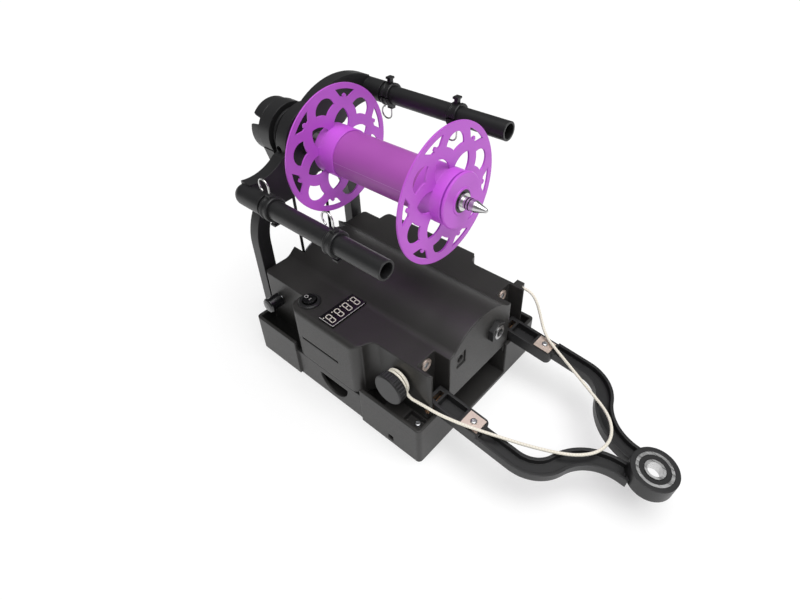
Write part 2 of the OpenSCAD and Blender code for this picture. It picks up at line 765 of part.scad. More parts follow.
// Paddle of the rocker switch, dished on top and bevelled below so that it tilts about Y on its trunnions
module rocker() {
    reach = rocker_r - 2.6 - 0.7;
    trunnion_len = rocker_r - 1.7;
    dish_r = 40;
    color("#141416") {
        translate([rocker_x, rocker_y, paddle_z]) difference() {
            intersection() {
                translate([0, 0, -4]) cylinder(h = 7.5, r = reach);
                rod_y(-reach, reach, 3.6 + reach, 0, -reach + 2.8);
            }
            rod_y(-reach - 1, reach + 1, dish_r, 0, dish_r + 2);
            for (side = [-1, 1])
                translate([side * reach, 0, -4]) rotate([0, side * 28, 0]) translate([-4, -reach - 1, -4])
                    cube([8, 2 * reach + 2, 4]);
        }
        rod_y(rocker_y - trunnion_len, rocker_y + trunnion_len, trunnion_r, rocker_x, rocker_axis_z);
    }
}

module speed_pot() {
    color("#6d7075") {
        rod_y(-cover_y + wall, -cover_y + wall + 9, 8, speed_x, speed_z);
        rod_y(-cover_y, -cover_y + wall + 1, knob_shaft_r + 0.5, speed_x, speed_z);
        rod_y(speed_y + 4, -cover_y + 1, knob_shaft_r, speed_x, speed_z);
    }
}

// Round knob with a domed face
module speed_knob() {
    r = speed_d / 2;
    neck = 0.8;
    length = min(speed_len, well_w - panel_set - clear);
    color("#0e0e10") translate([speed_x, speed_y, speed_z]) rotate([-90, 0, 0]) rotate_extrude() polygon([
        [0, 0], [r - 2.4, 0.3], [r - 0.8, 1], [r, 2], [r, 2.6], [r - neck, 3.1], [r - neck, length],
        [knob_shaft_r + run, length], [knob_shaft_r + run, 3.9], [0, 3.9]
    ]);
}

module brake_bolt() {
    color("silver") {
        rod_y(brake_y + 4, -cover_y + wall, 2, brake_x, brake_z);
        rod_y(-cover_y + wall, -cover_y + wall + 3, 3.6, brake_x, brake_z);
    }
}

// Fluted knob with the cord spool behind it
module brake_knob() {
    r = brake_d / 2;
    flutes = 30;
    back = brake_len + spool_len;
    color("#1c1c1e") translate([brake_x, brake_y, brake_z]) rotate([-90, 0, 0]) difference() {
        rotate_extrude() polygon([
            [0, 0], [r - 0.8, 0], [r, 0.8], [r, brake_len - 0.6], [r - 0.6, brake_len], [spool_r, brake_len],
            [spool_r, back], [2 + run, back], [2 + run, 3.9], [0, 3.9]
        ]);
        for (i = [0 : flutes - 1])
            rotate(i * 360 / flutes) translate([r + 0.35, 0, 0.9]) cylinder(h = brake_len - 1.8, r = 0.9, $fn = 16);
    }
}

// Rings of a swept tube: corner points round each route point, square to the route's direction
function unit(v) = v / norm(v);
function heading(route, i) = unit(route[min(i + 1, len(route) - 1)] - route[max(i - 1, 0)]);
function side_of(d, up) = unit(cross(d, up));
function ring_points(at, d, up, r, sides) = let (a = side_of(d, up), b = cross(a, d))
    [for (k = [0 : sides - 1]) at + r * (cos(360 * k / sides) * a + sin(360 * k / sides) * b)];
function tube_points(route, up, r, sides) =
    [for (i = [0 : len(route) - 1]) each ring_points(route[i], heading(route, i), up, r, sides)];
function tube_faces(rings, sides) = concat(
    [[for (k = [0 : sides - 1]) k]],
    [for (i = [0 : rings - 2]) for (k = [0 : sides - 1]) let (a = i * sides + k, b = i * sides + (k + 1) % sides)
        each [[a, a + sides, b], [b, a + sides, b + sides]]],
    [[for (k = [sides - 1 : -1 : 0]) (rings - 1) * sides + k]]
);

// Tube swept along a route
module swept_tube(route, up, r, sides) {
    polyhedron(tube_points(route, up, r, sides), tube_faces(len(route), sides), convexity = 4);
}

// Winding of the brake cord on its spool: an unbroken spiral along Y with straight ends
wind_sides = 6;
wind_steps = 24;
wind_y0 = -cover_y - 0.15 - cord_d / 2;
wind_start = 18 + 360 * wind_loops;
function wind_at(i) = let (turn = wind_loops * i / wind_count, a = wind_start - 360 * turn)
    [brake_x + wind_r * cos(a), wind_y0 - wind_pitch * turn, brake_z + wind_r * sin(a)];
wind_count = floor(wind_steps * wind_loops);
wind_body = [for (i = [0 : wind_count]) wind_at(i)];
wind_route = concat(
    [wind_body[0] + unit(wind_body[0] - wind_body[1]) * cord_d],
    wind_body,
    [wind_body[wind_count] + unit(wind_body[wind_count] - wind_body[wind_count - 1]) * cord_d]
);
wind_tube = tube_points(wind_route, [0, 1, 0], cord_d / 2, wind_sides);
wind_gap = min([for (i = [0 : len(wind_route) - 1]) for (j = [i + wind_steps / 2 : 1 : len(wind_route) - 1])
    for (k = [0 : wind_sides - 1]) for (m = [0 : wind_sides - 1])
        norm(wind_tube[i * wind_sides + k] - wind_tube[j * wind_sides + m])]);
echo(brake_winding_gap = wind_gap);

module brake_winding() {
    color("#e9e2cf") swept_tube(wind_route, [0, 1, 0], cord_d / 2, wind_sides);
}

module brake_cord() {
    color("#efe9d8") swept_tube(cord_route, [0, 0, 1], cord_d / 2, 8);
}

// Clip on the far side of the cover that takes the end of the brake cord
module cord_anchor() {
    half = 2.6;
    color("#2b2b2d") difference() {
        box([anchor_at[0] - 6, cover_y, anchor_at[2] - half], [anchor_at[0], anchor_at[1] + half, anchor_at[2] + half]);
        rod_y(cover_y - 1, anchor_at[1] + half + 1, 1.1, anchor_at[0] - 3, anchor_at[2]);
    }
}

module power_inlet() {
    depth = 12;
    face_x = cover_x - 0.8;
    color("#141414") difference() {
        box([cover_x - depth, inlet_y - inlet_w / 2, inlet_z - inlet_h / 2],
            [face_x, inlet_y + inlet_w / 2, inlet_z + inlet_h / 2]);
        rod_x(face_x - 8, face_x + 1, 2.8, inlet_y, inlet_z);
    }
    color("silver") rod_x(face_x - 9, face_x - 1, 1, inlet_y, inlet_z);
}

module pedal_jack() {
    barrel = jack_af * 0.36;
    color("silver") difference() {
        union() {
            rod_x(cover_x - 20, cover_x - wall, barrel + 3, jack_y, jack_z);
            rod_x(cover_x - wall, cover_x + 4.6, barrel, jack_y, jack_z);
        }
        rod_x(cover_x - 16, cover_x + 6, jack_r, jack_y, jack_z);
    }
}

module pedal_nut() {
    color("#1b1b1d") difference() {
        translate([cover_x, jack_y, jack_z]) rotate([0, 90, 0]) cylinder(h = 4, d = jack_af / cos(30), $fn = 6);
        rod_x(cover_x - 1, cover_x + 5, jack_af * 0.36 + run, jack_y, jack_z);
    }
}

// Hinge and latch

module hinge_pins() {
    color("#c9a27a") for (side = [-1, 1])
        rod_y(side * slot_y - slot_w / 2 - wall, side * slot_y + slot_w / 2 + wall - 0.4, pin_d / 2, pivot_x, pivot_z);
}

module latch_magnets() {
    color("#d8c6bd") for (side = [-1, 1])
        turned_x([
            [1.4, magnet_face_x - 4], [magnet_r, magnet_face_x - 4], [magnet_r, magnet_face_x - 0.3],
            [magnet_r - 0.3, magnet_face_x], [2.6, magnet_face_x], [1.4, magnet_face_x - 1.2]
        ], side * slot_y, pivot_z + plate_u);
}

module latch_screws() {
    color("silver") for (side = [-1, 1])
        turned_x([
            [0, magnet_face_x - 8], [1.3, magnet_face_x - 8], [1.3, magnet_face_x - 1.2], [2.45, magnet_face_x - 0.1],
            [0, magnet_face_x - 0.1]
        ], side * slot_y, pivot_z + plate_u);
}

// Yoke

// Side view of an arm root: square behind the rim, round below the pin
module root_side() {
    circle(r = root_low);
    polygon([[-root_back, 0], [0, 0], [0, -root_low], [root_len, -root_low], [root_len, rim_v], [-root_back, rim_v]]);
}

// Plan of a curved arm, drawn in by g: two bends that lead from the root in to the neck
bend_steps = 18;
function arc_points(at, r, a0, a1) = [for (i = [0 : bend_steps]) let (a = a0 + (a1 - a0) * i / bend_steps)
    at + r * [cos(a), sin(a)]];
module arm_band(g, u0, u1) {
    first = [shoulder_u, arm_y - bend_r];
    second = [neck_u, neck_y + bend_r];
    polygon(concat(
        [[u0, arm_y - g]],
        arc_points(first, bend_r - g, 90, 90 - bend),
        arc_points(second, bend_r + g, 270 - bend, 270),
        [[u1, neck_y - g], [u1, neck_y - arm_w + g]],
        arc_points(second, bend_r + arm_w - g, 270, 270 - bend),
        arc_points(first, bend_r - arm_w + g, 90 - bend, 90),
        [[u0, arm_y - arm_w + g]]
    ));
}

// One arm of the yoke on the +Y side, in the yoke's own frame
module yoke_arm() {
    y0 = slot_y - root_w / 2;
    pad_r = 3.5;
    difference() {
        translate([0, slot_y + root_w / 2, 0]) rotate([90, 0, 0]) linear_extrude(root_w) root_side();
        box([pin_d / 2 + rib, y0 + rib, 0.8], [plate_u - plate_l / 2 - rib, y0 + root_w - rib, rim_v + 1]);
        box([-pin_d / 2 - 0.2, y0 + 3, 0], [pin_d / 2 + 0.2, y0 + root_w - 3, rim_v + 1]);
        box([plate_u - plate_l / 2 - fit, slot_y - 5.5 - fit, rim_v + plate_proud - plate_t],
            [plate_u + plate_l / 2 + fit, slot_y + 5.5 + fit, rim_v + 1]);
        rod_y(y0 - 1, y0 + root_w + 1, pin_d / 2 + run, 0, 0);
        translate([root_len - pad_r, y0 + pad_r, -root_low - 1]) linear_extrude(root_low + rim_v + 2) difference() {
            translate([0, -pad_r - 1]) square(pad_r + 1);
            circle(r = pad_r - bite);
        }
    }
    difference() {
        translate([0, 0, arm_low]) linear_extrude(rim_v - arm_low) arm_band(0, root_len - 1, neck_u + 4);
        translate([0, 0, arm_low + arm_floor]) linear_extrude(rim_v) arm_band(rib, root_len, neck_u + 2);
    }
}

module yoke_frame() {
    color("#242426") on_yoke() difference() {
        union() {
            yoke_arm();
            mirror([0, 1, 0]) yoke_arm();
            translate([yoke_len, 0, housing_low]) cylinder(h = bearing_v + 0.2 - housing_low, r = housing_r);
            box([neck_u, -neck_y + 1, arm_low], [yoke_len - bearing_od / 2, neck_y - 1, arm_low + arm_floor + 2]);
        }
        translate([yoke_len, 0, bearing_low]) cylinder(h = bearing_w + 5, r = bearing_od / 2 + run);
        translate([yoke_len, 0, -5]) cylinder(h = bearing_v, r = bearing_od / 2 - 2);
    }
}

// Ring square to the yoke, between two heights above the pin
module yoke_ring(v0, v1, r_in, r_out) {
    on_yoke() translate([yoke_len, 0, 0]) rotate_extrude()
        polygon([[r_in, v0], [r_out, v0], [r_out, v1], [r_in, v1]]);
}

module yoke_bearing_outer() {
    color("silver") yoke_ring(bearing_low, bearing_v, bearing_od / 2 - 1.8, bearing_od / 2);
}

module yoke_bearing_seals() {
    color("#17171a") for (v = [bearing_low + 0.4, bearing_v - 1.2])
        yoke_ring(v, v + 0.8, bearing_id / 2 + 1.6 + clear, bearing_od / 2 - 1.8);
}

module yoke_bearing_inner() {
    color("silver") yoke_ring(bearing_low, bearing_v, bearing_id / 2, bearing_id / 2 + 1.6);
}

module strike_plates() {
    color("#d8c6bd") on_yoke() for (side = [-1, 1])
        difference() {
            box([plate_u - plate_l / 2, side * slot_y - 5.5, rim_v + plate_proud - plate_t],
                [plate_u + plate_l / 2, side * slot_y + 5.5, rim_v + plate_proud]);
            translate([plate_u, side * slot_y, 0]) cylinder(h = 20, r = head_r * 0.5 + run);
        }
}

module plate_screws() {
    color("silver") on_yoke() for (side = [-1, 1])
        translate([plate_u, side * slot_y, rim_v + plate_proud]) pan_screw(head_r, head_h, plate_t);
}

// Flyer

// Places children at an arm tube: side -1 is the low near arm, side 1 the high far arm
module at_arm(side) {
    translate([0, side * arm_offset * cos(arm_lean), axis_z + side * arm_offset * sin(arm_lean)]) children();
}

// One half of the bow's outline, in Y and Z about the flyer axis: a crescent from the hub to the arm
module bow_half() {
    arm = [arm_offset * cos(arm_lean), arm_offset * sin(arm_lean)];
    back = [arm[0] - 24.5, arm[1] - 39.4];
    back_r = norm(arm - back) + socket_r + 0.6;
    hollow = [arm[0] - 6.4, arm[1] - 41.4];
    hollow_r = norm(arm - hollow) - socket_r - 1.4;
    intersection() {
        difference() {
            translate(back) circle(r = back_r, $fn = 96);
            translate(hollow) circle(r = hollow_r, $fn = 96);
        }
        polygon([[-6, -2], [-6, back_r], [arm[0], arm[1] + 20], arm, [arm[0], arm[1] - socket_r - 2], [8, -2]]);
    }
    circle(r = bow_hub_r);
}

// Half outline of an arm socket with its round end, turned about the arm
module socket_outline() {
    intersection() {
        translate([0, elbow_x]) circle(r = socket_r);
        translate([0, elbow_x - socket_r]) square(socket_r);
    }
    translate([0, elbow_x]) square([socket_r, bow_x1 + socket_len - elbow_x]);
}

module flyer_bow() {
    color("#29292b") difference() {
        union() {
            translate([0, 0, axis_z]) along_x(bow_x0, bow_x1) {
                bow_half();
                rotate(180) bow_half();
            }
            rod_x(bow_x1 - 1, bow_x1 + 4, 12, 0, axis_z);
            for (side = [-1, 1])
                at_arm(side) rotate([0, 90, 0]) rotate_extrude() socket_outline();
        }
        rod_x(bow_x0 - 10, bow_x0 + 6, quill_r + run, 0, axis_z);
        rod_x(bow_x0, bow_x1 + 6, shaft_r + run, 0, axis_z);
        yarn_exit();
        for (side = [-1, 1]) {
            at_arm(side) rod_x(elbow_x + 2, bow_x1 + socket_len + 1, arm_r + run);
            rod_x(bow_x0 - 1, bow_x1 + 1, 1.5, -side * 16, axis_z + side * 14);
        }
    }
}

// Cross hole by which the yarn leaves the quill towards the arms
module yarn_exit() {
    rod_y(-bow_hub_r - 2, bow_hub_r + 2, 2.6, bow_x0 + 3, axis_z);
}

// Notch across the crown, along X: narrow at its foot, with rounded lips at the mouth
module crown_notch() {
    foot = 2.2;
    lip = 5;
    side = [
        [crown_x0 - 1, lip + 3], [crown_x0 + 0.3, lip], [crown_x0 + 1.2, foot + 1.7], [crown_x0 + 3.5, foot + 0.8],
        [crown_x1 - 1.5, foot]
    ];
    polygon(concat(side, [for (i = [len(side) - 1 : -1 : 0]) [side[i][0], -side[i][1]]]));
}

// Hollow quill with the notched orifice crown on its outer end
module orifice_quill() {
    color("#1d1d1f") difference() {
        turned_x([
            [orifice_r, crown_x0 + 3], [crown_r - 4, crown_x0], [crown_r - 1, crown_x0], [crown_r, crown_x0 + 1.2],
            [crown_r, crown_x1 - 1], [crown_r - 1, crown_x1], [quill_r - run, crown_x1], [quill_r - run, bow_x0 + 6],
            [orifice_r, bow_x0 + 6]
        ], 0, axis_z);
        yarn_exit();
        translate([0, 0, axis_z]) rotate([crown_turn, 0, 0]) linear_extrude(3 * crown_r, center = true) crown_notch();
    }
}

module flyer_shaft() {
    ring_x0 = shoulder_x + 2;
    ring_w = 0.9;
    ring_in = seat_r - 0.5;
    color("#c4c6ca") turned_x([
        [0, bow_x0 + 6], [shaft_r, bow_x0 + 6], [shaft_r, bow_x1 + 4], [shaft_r + 3, bow_x1 + 4],
        [shaft_r + 3, bow_x1 + spacer_len], [shaft_r, bow_x1 + spacer_len], [shaft_r, shoulder_x - thrust_len],
        [shaft_r + 1.4, shoulder_x - thrust_len], [shaft_r + 1.4, shoulder_x], [seat_r, shoulder_x],
        [seat_r, ring_x0], [ring_in, ring_x0], [ring_in, ring_x0 + ring_w], [seat_r, ring_x0 + ring_w],
        [seat_r, ring_x0 + 2 * ring_w], [ring_in, ring_x0 + 2 * ring_w], [ring_in, ring_x0 + 3 * ring_w],
        [seat_r, ring_x0 + 3 * ring_w], [seat_r, tip_x - tip_len], [1.2, tip_x - 0.5], [0.6, tip_x], [0, tip_x]
    ], 0, axis_z);
}

// Hollow arm tube
module arm_tube(side) {
    color("#1f1f21") at_arm(side) ring_x(elbow_x + 2, arm_x1, arm_r - arm_wall, arm_r);
}

module arm_tube_near() {
    arm_tube(-1);
}

module arm_tube_far() {
    arm_tube(1);
}

// Sliding clip on an arm: a split collar with a thumb tab, turned so that near hooks stand up and far hooks hang
module clip(x, side) {
    r = arm_r + clip_wall;
    half = clip_w / 2;
    bead = 1.7;
    dip = 0.7;
    tab_h = 4.2;
    color("#19191b") at_arm(side) rotate([side > 0 ? 180 : 0, 0, 0]) difference() {
        union() {
            turned_x([
                [arm_r + run, x - half], [r - 0.4, x - half], [r, x - half + 0.5], [r, x - half + bead],
                [r - dip, x - half + bead + 0.4], [r - dip, x + half - bead - 0.4], [r, x + half - bead],
                [r, x + half - 0.5], [r - 0.4, x + half], [arm_r + run, x + half]
            ]);
            box([x - 2.2, -1.8, r - dip - 0.3], [x + 2.2, 1.8, r + 1.8]);
            box([x - 1.3, -1.7, -r - tab_h + 1], [x + 1.3, 1.7, -r + dip + 0.3]);
            box([x - 2.1, -2.3, -r - tab_h], [x + 2.1, 2.3, -r - tab_h + 1.4]);
        }
        translate([x, 0, r - 0.9]) cylinder(h = 8, r = wire_r + run);
        box([x - clip_w, arm_r - 1, -0.6], [x + clip_w, r + 1, 0.6]);
    }
}

// Bent wire hook in a clip: a straight stem and an open loop
module hook(x, side) {
    r = arm_r + clip_wall;
    stem_z = r - 0.8 + hook_stem;
    color("#d5d6d8") at_arm(side) rotate([side > 0 ? 180 : 0, 0, 0]) translate([x, 0, 0]) {
        translate([0, 0, r - 0.8]) cylinder(h = hook_stem, r = wire_r, $fn = 16);
        translate([-hook_r, 0, stem_z]) rotate([90, 0, 0])
            rotate_extrude(angle = 250) translate([hook_r, 0]) circle(r = wire_r, $fn = 16);
    }
}

module clip_near_a() {
    clip(clip_a_x, -1);
}

module clip_near_b() {
    clip(clip_b_x, -1);
}

module clip_far_a() {
    clip(clip_a_x, 1);
}

module clip_far_b() {
    clip(clip_b_x, 1);
}

module hook_near_a() {
    hook(clip_a_x, -1);
}

module hook_near_b() {
    hook(clip_b_x, -1);
}

module hook_far_a() {
    hook(clip_a_x, 1);
}

module hook_far_b() {
    hook(clip_b_x, 1);
}

// Bobbin

// Pointed leaf beside the hub, on the X axis
module petal() {
    mid = collar_core_r - 0.6;
    reach = flange_r * 0.618 - mid;
    half = 5.6 * petal_share;
    r = (half + reach * reach / half) / 2;
    intersection() {
        translate([mid, r - half]) circle(r = r);
        translate([mid, half - r]) circle(r = r);
    }
}

// Round band that goes over a leaf
module scallop() {
    translate([flange_r * 0.442, 0]) circle(r = flange_r * 0.324 * petal_share);
}

// Curved triangle under the rim with a small spade-shaped cusp on its inner side
module spandrel() {
    foot = flange_r * 0.79;
    half_foot = flange_r * 0.055 * petal_share;
    half_top = flange_r * 0.21 * petal_share;
    cusp = flange_r * 0.035;
    difference() {
        intersection() {
            circle(r = flange_r * 0.913);
            polygon([[foot, -half_foot], [flange_r, -half_top], [flange_r, half_top], [foot, half_foot]]);
        }
        polygon([
            [foot - 1, -cusp * 0.6], [foot + cusp * 0.5, -cusp], [foot + cusp * 1.3, 0], [foot + cusp * 0.5, cusp],
            [foot - 1, cusp * 0.6]
        ]);
    }
}

// Pierced plan of a flange: leaves, lobes between their bands, and spandrels under the rim
module flange_plan() {
    step = 360 / petals;
    difference() {
        circle(r = flange_r);
        for (i = [0 : petals - 1])
            rotate(i * step) {
                difference() {
                    petal();
                    circle(r = collar_core_r + 0.4);
                }
                spandrel();
                rotate(step / 2) difference() {
                    translate([flange_r * 0.676, 0]) circle(r = flange_r * 0.179 * petal_share);
                    rotate(step / 2) scallop();
                    rotate(-step / 2) scallop();
                }
            }
    }
}

module bobbin_core() {
    color("#9d4fae") ring_x(rear_x + flange_t, front_x - flange_t, core_r - 2, core_r, 0, axis_z);
}

// Pierced disc of a flange with its pattern turned by an angle, from x0 outwards to the yoke end
module flange_disc(x0, turn) {
    translate([0, 0, axis_z]) along_x(x0, x0 + flange_t) difference() {
        rotate(turn) flange_plan();
        circle(r = bush_r + run);
    }
}

// Front flange with its collar over the core, the boss, the brake groove and the end disc
module front_flange() {
    x0 = front_x - flange_t;
    x1 = bobbin_x1 - bush_lip;
    color("#b35bd0") {
        flange_disc(x0, front_turn);
        turned_x([
            [core_r + run, x0 - collar_core_len], [collar_core_r, x0 - collar_core_len], [collar_core_r, front_x - 1],
            [boss_r, front_x - 1], [boss_r, front_x + boss_len], [groove_r, front_x + boss_len + 0.2],
            [groove_r, x1 - disc_len - 0.2], [disc_r, x1 - disc_len], [disc_r, x1 - 0.6], [disc_r - 0.6, x1],
            [bush_r + 1.6, x1], [bush_r + 1.2, x1 + bush_lip], [bush_r + run, x1 + bush_lip], [bush_r + run, x0],
            [core_r + run, x0]
        ], 0, axis_z);
    }
}

module rear_flange() {
    x1 = rear_x + flange_t;
    color("#b35bd0") {
        flange_disc(rear_x, rear_turn);
        turned_x([
            [bush_r + run, bobbin_x0 + bush_lip], [bush_r + 2, bobbin_x0 + bush_lip], [boss_r, rear_x - 4],
            [boss_r, rear_x + 1], [collar_core_r, rear_x + 1], [collar_core_r, x1 + collar_core_len],
            [core_r + run, x1 + collar_core_len], [core_r + run, x1], [bush_r + run, x1]
        ], 0, axis_z);
    }
}

// Flanged bush at each end of the bobbin
module bobbin_bushes() {
    color("#151517") {
        ring_x(bobbin_x1 - bush_lip - 10, bobbin_x1, shaft_r + run, bush_r, 0, axis_z);
        ring_x(bobbin_x0, bobbin_x0 + bush_lip + 10, shaft_r + run, bush_r, 0, axis_z);
    }
}

base_tray();
top_cover();
inner_shelf();
foot_pads();
cover_screws();
flyer_arch();
arch_screws();
arch_bearing_outer();
arch_bearing_seals();
motor();
motor_bracket();
motor_screws();
drive_belt();
control_board();
display();
rocker_bezel();
speed_pot();
power_inlet();
pedal_jack();
pedal_nut();
hinge_pins();
latch_magnets();
latch_screws();
brake_bolt();
brake_cord();
cord_anchor();
flyer_bow();
orifice_quill();
whorl();
flyer_shaft();
arm_tube_near();
arm_tube_far();
arch_bearing_inner();
bobbin_core();
front_flange();
rear_flange();
bobbin_bushes();
yoke_frame();
yoke_bearing_outer();
yoke_bearing_seals();
yoke_bearing_inner();
strike_plates();
plate_screws();
motor_pulley();
speed_knob();
brake_knob();
brake_winding();
rocker();
clip_near_a();
clip_near_b();
clip_far_a();
clip_far_b();
hook_near_a();
hook_near_b();
hook_far_a();
hook_far_b();
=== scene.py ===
"""Looks of the electric spinning wheel: finishes, cords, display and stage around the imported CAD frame."""

import math

import bmesh
import bpy
from mathutils import Matrix, Vector
from mathutils.geometry import tessellate_polygon


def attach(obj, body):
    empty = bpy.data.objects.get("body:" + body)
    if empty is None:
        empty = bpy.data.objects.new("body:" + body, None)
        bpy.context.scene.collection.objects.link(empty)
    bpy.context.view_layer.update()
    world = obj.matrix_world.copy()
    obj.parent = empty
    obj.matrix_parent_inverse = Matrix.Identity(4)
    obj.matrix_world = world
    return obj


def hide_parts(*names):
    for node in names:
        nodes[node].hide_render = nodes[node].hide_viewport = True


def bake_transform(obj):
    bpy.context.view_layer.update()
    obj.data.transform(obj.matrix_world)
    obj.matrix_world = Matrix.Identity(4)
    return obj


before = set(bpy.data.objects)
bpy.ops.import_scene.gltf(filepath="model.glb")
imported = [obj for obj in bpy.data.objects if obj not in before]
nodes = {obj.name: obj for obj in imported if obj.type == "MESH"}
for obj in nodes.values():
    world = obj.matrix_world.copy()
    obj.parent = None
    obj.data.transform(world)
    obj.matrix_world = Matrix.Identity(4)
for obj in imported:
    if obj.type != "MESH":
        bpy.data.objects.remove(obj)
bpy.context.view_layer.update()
scene = bpy.context.scene
MM = 0.001

# Sizes and places of the pieces below, in millimetres, as in the part's source
AXIS_Z = 159.5
PIVOT_X, PIVOT_Z = 77.0, 35.0
BRAKE_X, BRAKE_Z = 55.5, 50.5
BELT_X = -81.1
MOTOR_Z = 50.0
WHORL_R = 15.6
PULLEY_R = 14.6
BELT_D = 2.2
CORD_D = 2.0
JOINT_Z = 24.0
SEAM_Z = 160.5
DISPLAY_TOP = 70.2
SHOULDER_X = 62.4

# Sizes of the patterns that all finishes of a kind share, in millimetres
COLOUR_DRIFT = 38.0
GRAIN_DEPTH = 0.12
TOOL_MARK_DEPTH = 0.05
STRAND_DEPTH = 0.2
FLUFF = 0.5
CLOUD = 1.5

# Optical value that the plastics share
PLASTIC_IOR = 1.5


def linear(hex_colour):
    """sRGB hex text to linear red, green, blue and alpha."""
    parts = [int(hex_colour[i:i + 2], 16) / 255 for i in (1, 3, 5)]
    return [p / 12.92 if p <= 0.04045 else ((p + 0.055) / 1.055) ** 2.4 for p in parts] + [1.0]


def add(tree, kind, sockets=None, **settings):
    """Adds one node, gives it its settings and fills or links its sockets."""
    made = tree.nodes.new(kind)
    for name, value in settings.items():
        setattr(made, name, value)
    for name, value in (sockets or {}).items():
        if isinstance(value, bpy.types.NodeSocket):
            tree.links.new(value, made.inputs[name])
        else:
            made.inputs[name].default_value = value
    return made


def blank(name):
    """New material with an empty tree, and its output node."""
    material = bpy.data.materials.new(name)
    material.use_nodes = True
    tree = material.node_tree
    tree.nodes.clear()
    return material, tree, add(tree, "ShaderNodeOutputMaterial")


def per_mm(size):
    """Texture scale that makes a pattern of this size in millimetres, on coordinates in metres."""
    return 1.0 / (size * MM)


def circle(count, radius=1.0):
    """Even points round a flat circle."""
    angles = [2 * math.pi * k / count for k in range(count)]
    return [(radius * math.cos(a), radius * math.sin(a)) for a in angles]


def box(x0, y0, x1, y1):
    """Corners of a flat rectangle."""
    return [(x0, y0), (x1, y0), (x1, y1), (x0, y1)]


def moulded_plastic(name, colour, deep, rough, grain, relief, edge=0.3, coat=0.0):
    """Injection-moulded plastic: an even colour that drifts a little over a hand's breadth, the fine
    spark-eroded grain of the mould, which breaks up the highlights, and edges that catch the light as if
    rounded to this many millimetres."""
    material, tree, out = blank(name)
    where = add(tree, "ShaderNodeTexCoord").outputs["Object"]
    drift = add(tree, "ShaderNodeTexNoise", {"Vector": where, "Scale": per_mm(COLOUR_DRIFT), "Detail": 2.0})
    speck = add(tree, "ShaderNodeTexNoise", {"Vector": where, "Scale": per_mm(grain), "Detail": 2.0})
    tone = add(tree, "ShaderNodeMapRange", {"Value": drift.outputs["Fac"], "From Min": 0.3, "From Max": 0.7})
    hue = add(tree, "ShaderNodeMix", {
        "Factor": tone.outputs["Result"], "A": linear(colour), "B": linear(deep)}, data_type="RGBA")
    gloss = add(tree, "ShaderNodeMapRange", {
        "Value": speck.outputs["Fac"], "From Min": 0.25, "From Max": 0.75, "To Min": rough - 0.06,
        "To Max": rough + 0.08})
    corner = add(tree, "ShaderNodeBevel", {"Radius": edge * MM}, samples=6)
    bump = add(tree, "ShaderNodeBump", {
        "Height": speck.outputs["Fac"], "Strength": relief, "Distance": GRAIN_DEPTH * MM,
        "Normal": corner.outputs["Normal"]})
    skin = add(tree, "ShaderNodeBsdfPrincipled", {
        "Base Color": hue.outputs["Result"], "Roughness": gloss.outputs["Result"],
        "Normal": bump.outputs["Normal"], "IOR": PLASTIC_IOR, "Coat Weight": coat, "Coat Roughness": 0.2})
    tree.links.new(skin.outputs["BSDF"], out.inputs["Surface"])
    return material


def line_across(material, height, half, colour, near_side=False):
    """Draws a level line on a finish, at this height and half width in millimetres, all round or on the
    near side."""
    side_limit = 0.0 if near_side else 1.0
    tree = material.node_tree
    skin = next(n for n in tree.nodes if n.type == "BSDF_PRINCIPLED")
    hue = skin.inputs["Base Color"].links[0].from_socket
    where = add(tree, "ShaderNodeTexCoord").outputs["Object"]
    part = add(tree, "ShaderNodeSeparateXYZ", {"Vector": where})
    level = add(tree, "ShaderNodeMath", {
        0: part.outputs["Z"], 1: height * MM, 2: half * MM}, operation="COMPARE")
    side = add(tree, "ShaderNodeMath", {0: part.outputs["Y"], 1: side_limit}, operation="LESS_THAN")
    line = add(tree, "ShaderNodeMath", {
        0: level.outputs["Value"], 1: side.outputs["Value"]}, operation="MULTIPLY")
    drawn = add(tree, "ShaderNodeMix", {
        "Factor": line.outputs["Value"], "A": hue, "B": linear(colour)}, data_type="RGBA")
    tree.links.new(drawn.outputs["Result"], skin.inputs["Base Color"])


def worked_metal(name, colour, rough, stretch, grain, relief):
    """Bare or plated metal: fine lines of the tool or the drawing die along the stretched direction."""
    material, tree, out = blank(name)
    where = add(tree, "ShaderNodeTexCoord").outputs["Object"]
    lines = add(tree, "ShaderNodeMapping", {"Vector": where, "Scale": stretch})
    marks = add(tree, "ShaderNodeTexNoise", {
        "Vector": lines.outputs["Vector"], "Scale": per_mm(grain), "Detail": 3.0})
    gloss = add(tree, "ShaderNodeMapRange", {
        "Value": marks.outputs["Fac"], "From Min": 0.3, "From Max": 0.7, "To Min": max(rough - 0.08, 0.04),
        "To Max": rough + 0.1})
    bump = add(tree, "ShaderNodeBump", {
        "Height": marks.outputs["Fac"], "Strength": relief, "Distance": TOOL_MARK_DEPTH * MM})
    skin = add(tree, "ShaderNodeBsdfPrincipled", {
        "Base Color": linear(colour), "Metallic": 1.0, "Roughness": gloss.outputs["Result"],
        "Normal": bump.outputs["Normal"]})
    tree.links.new(skin.outputs["BSDF"], out.inputs["Surface"])
    return material


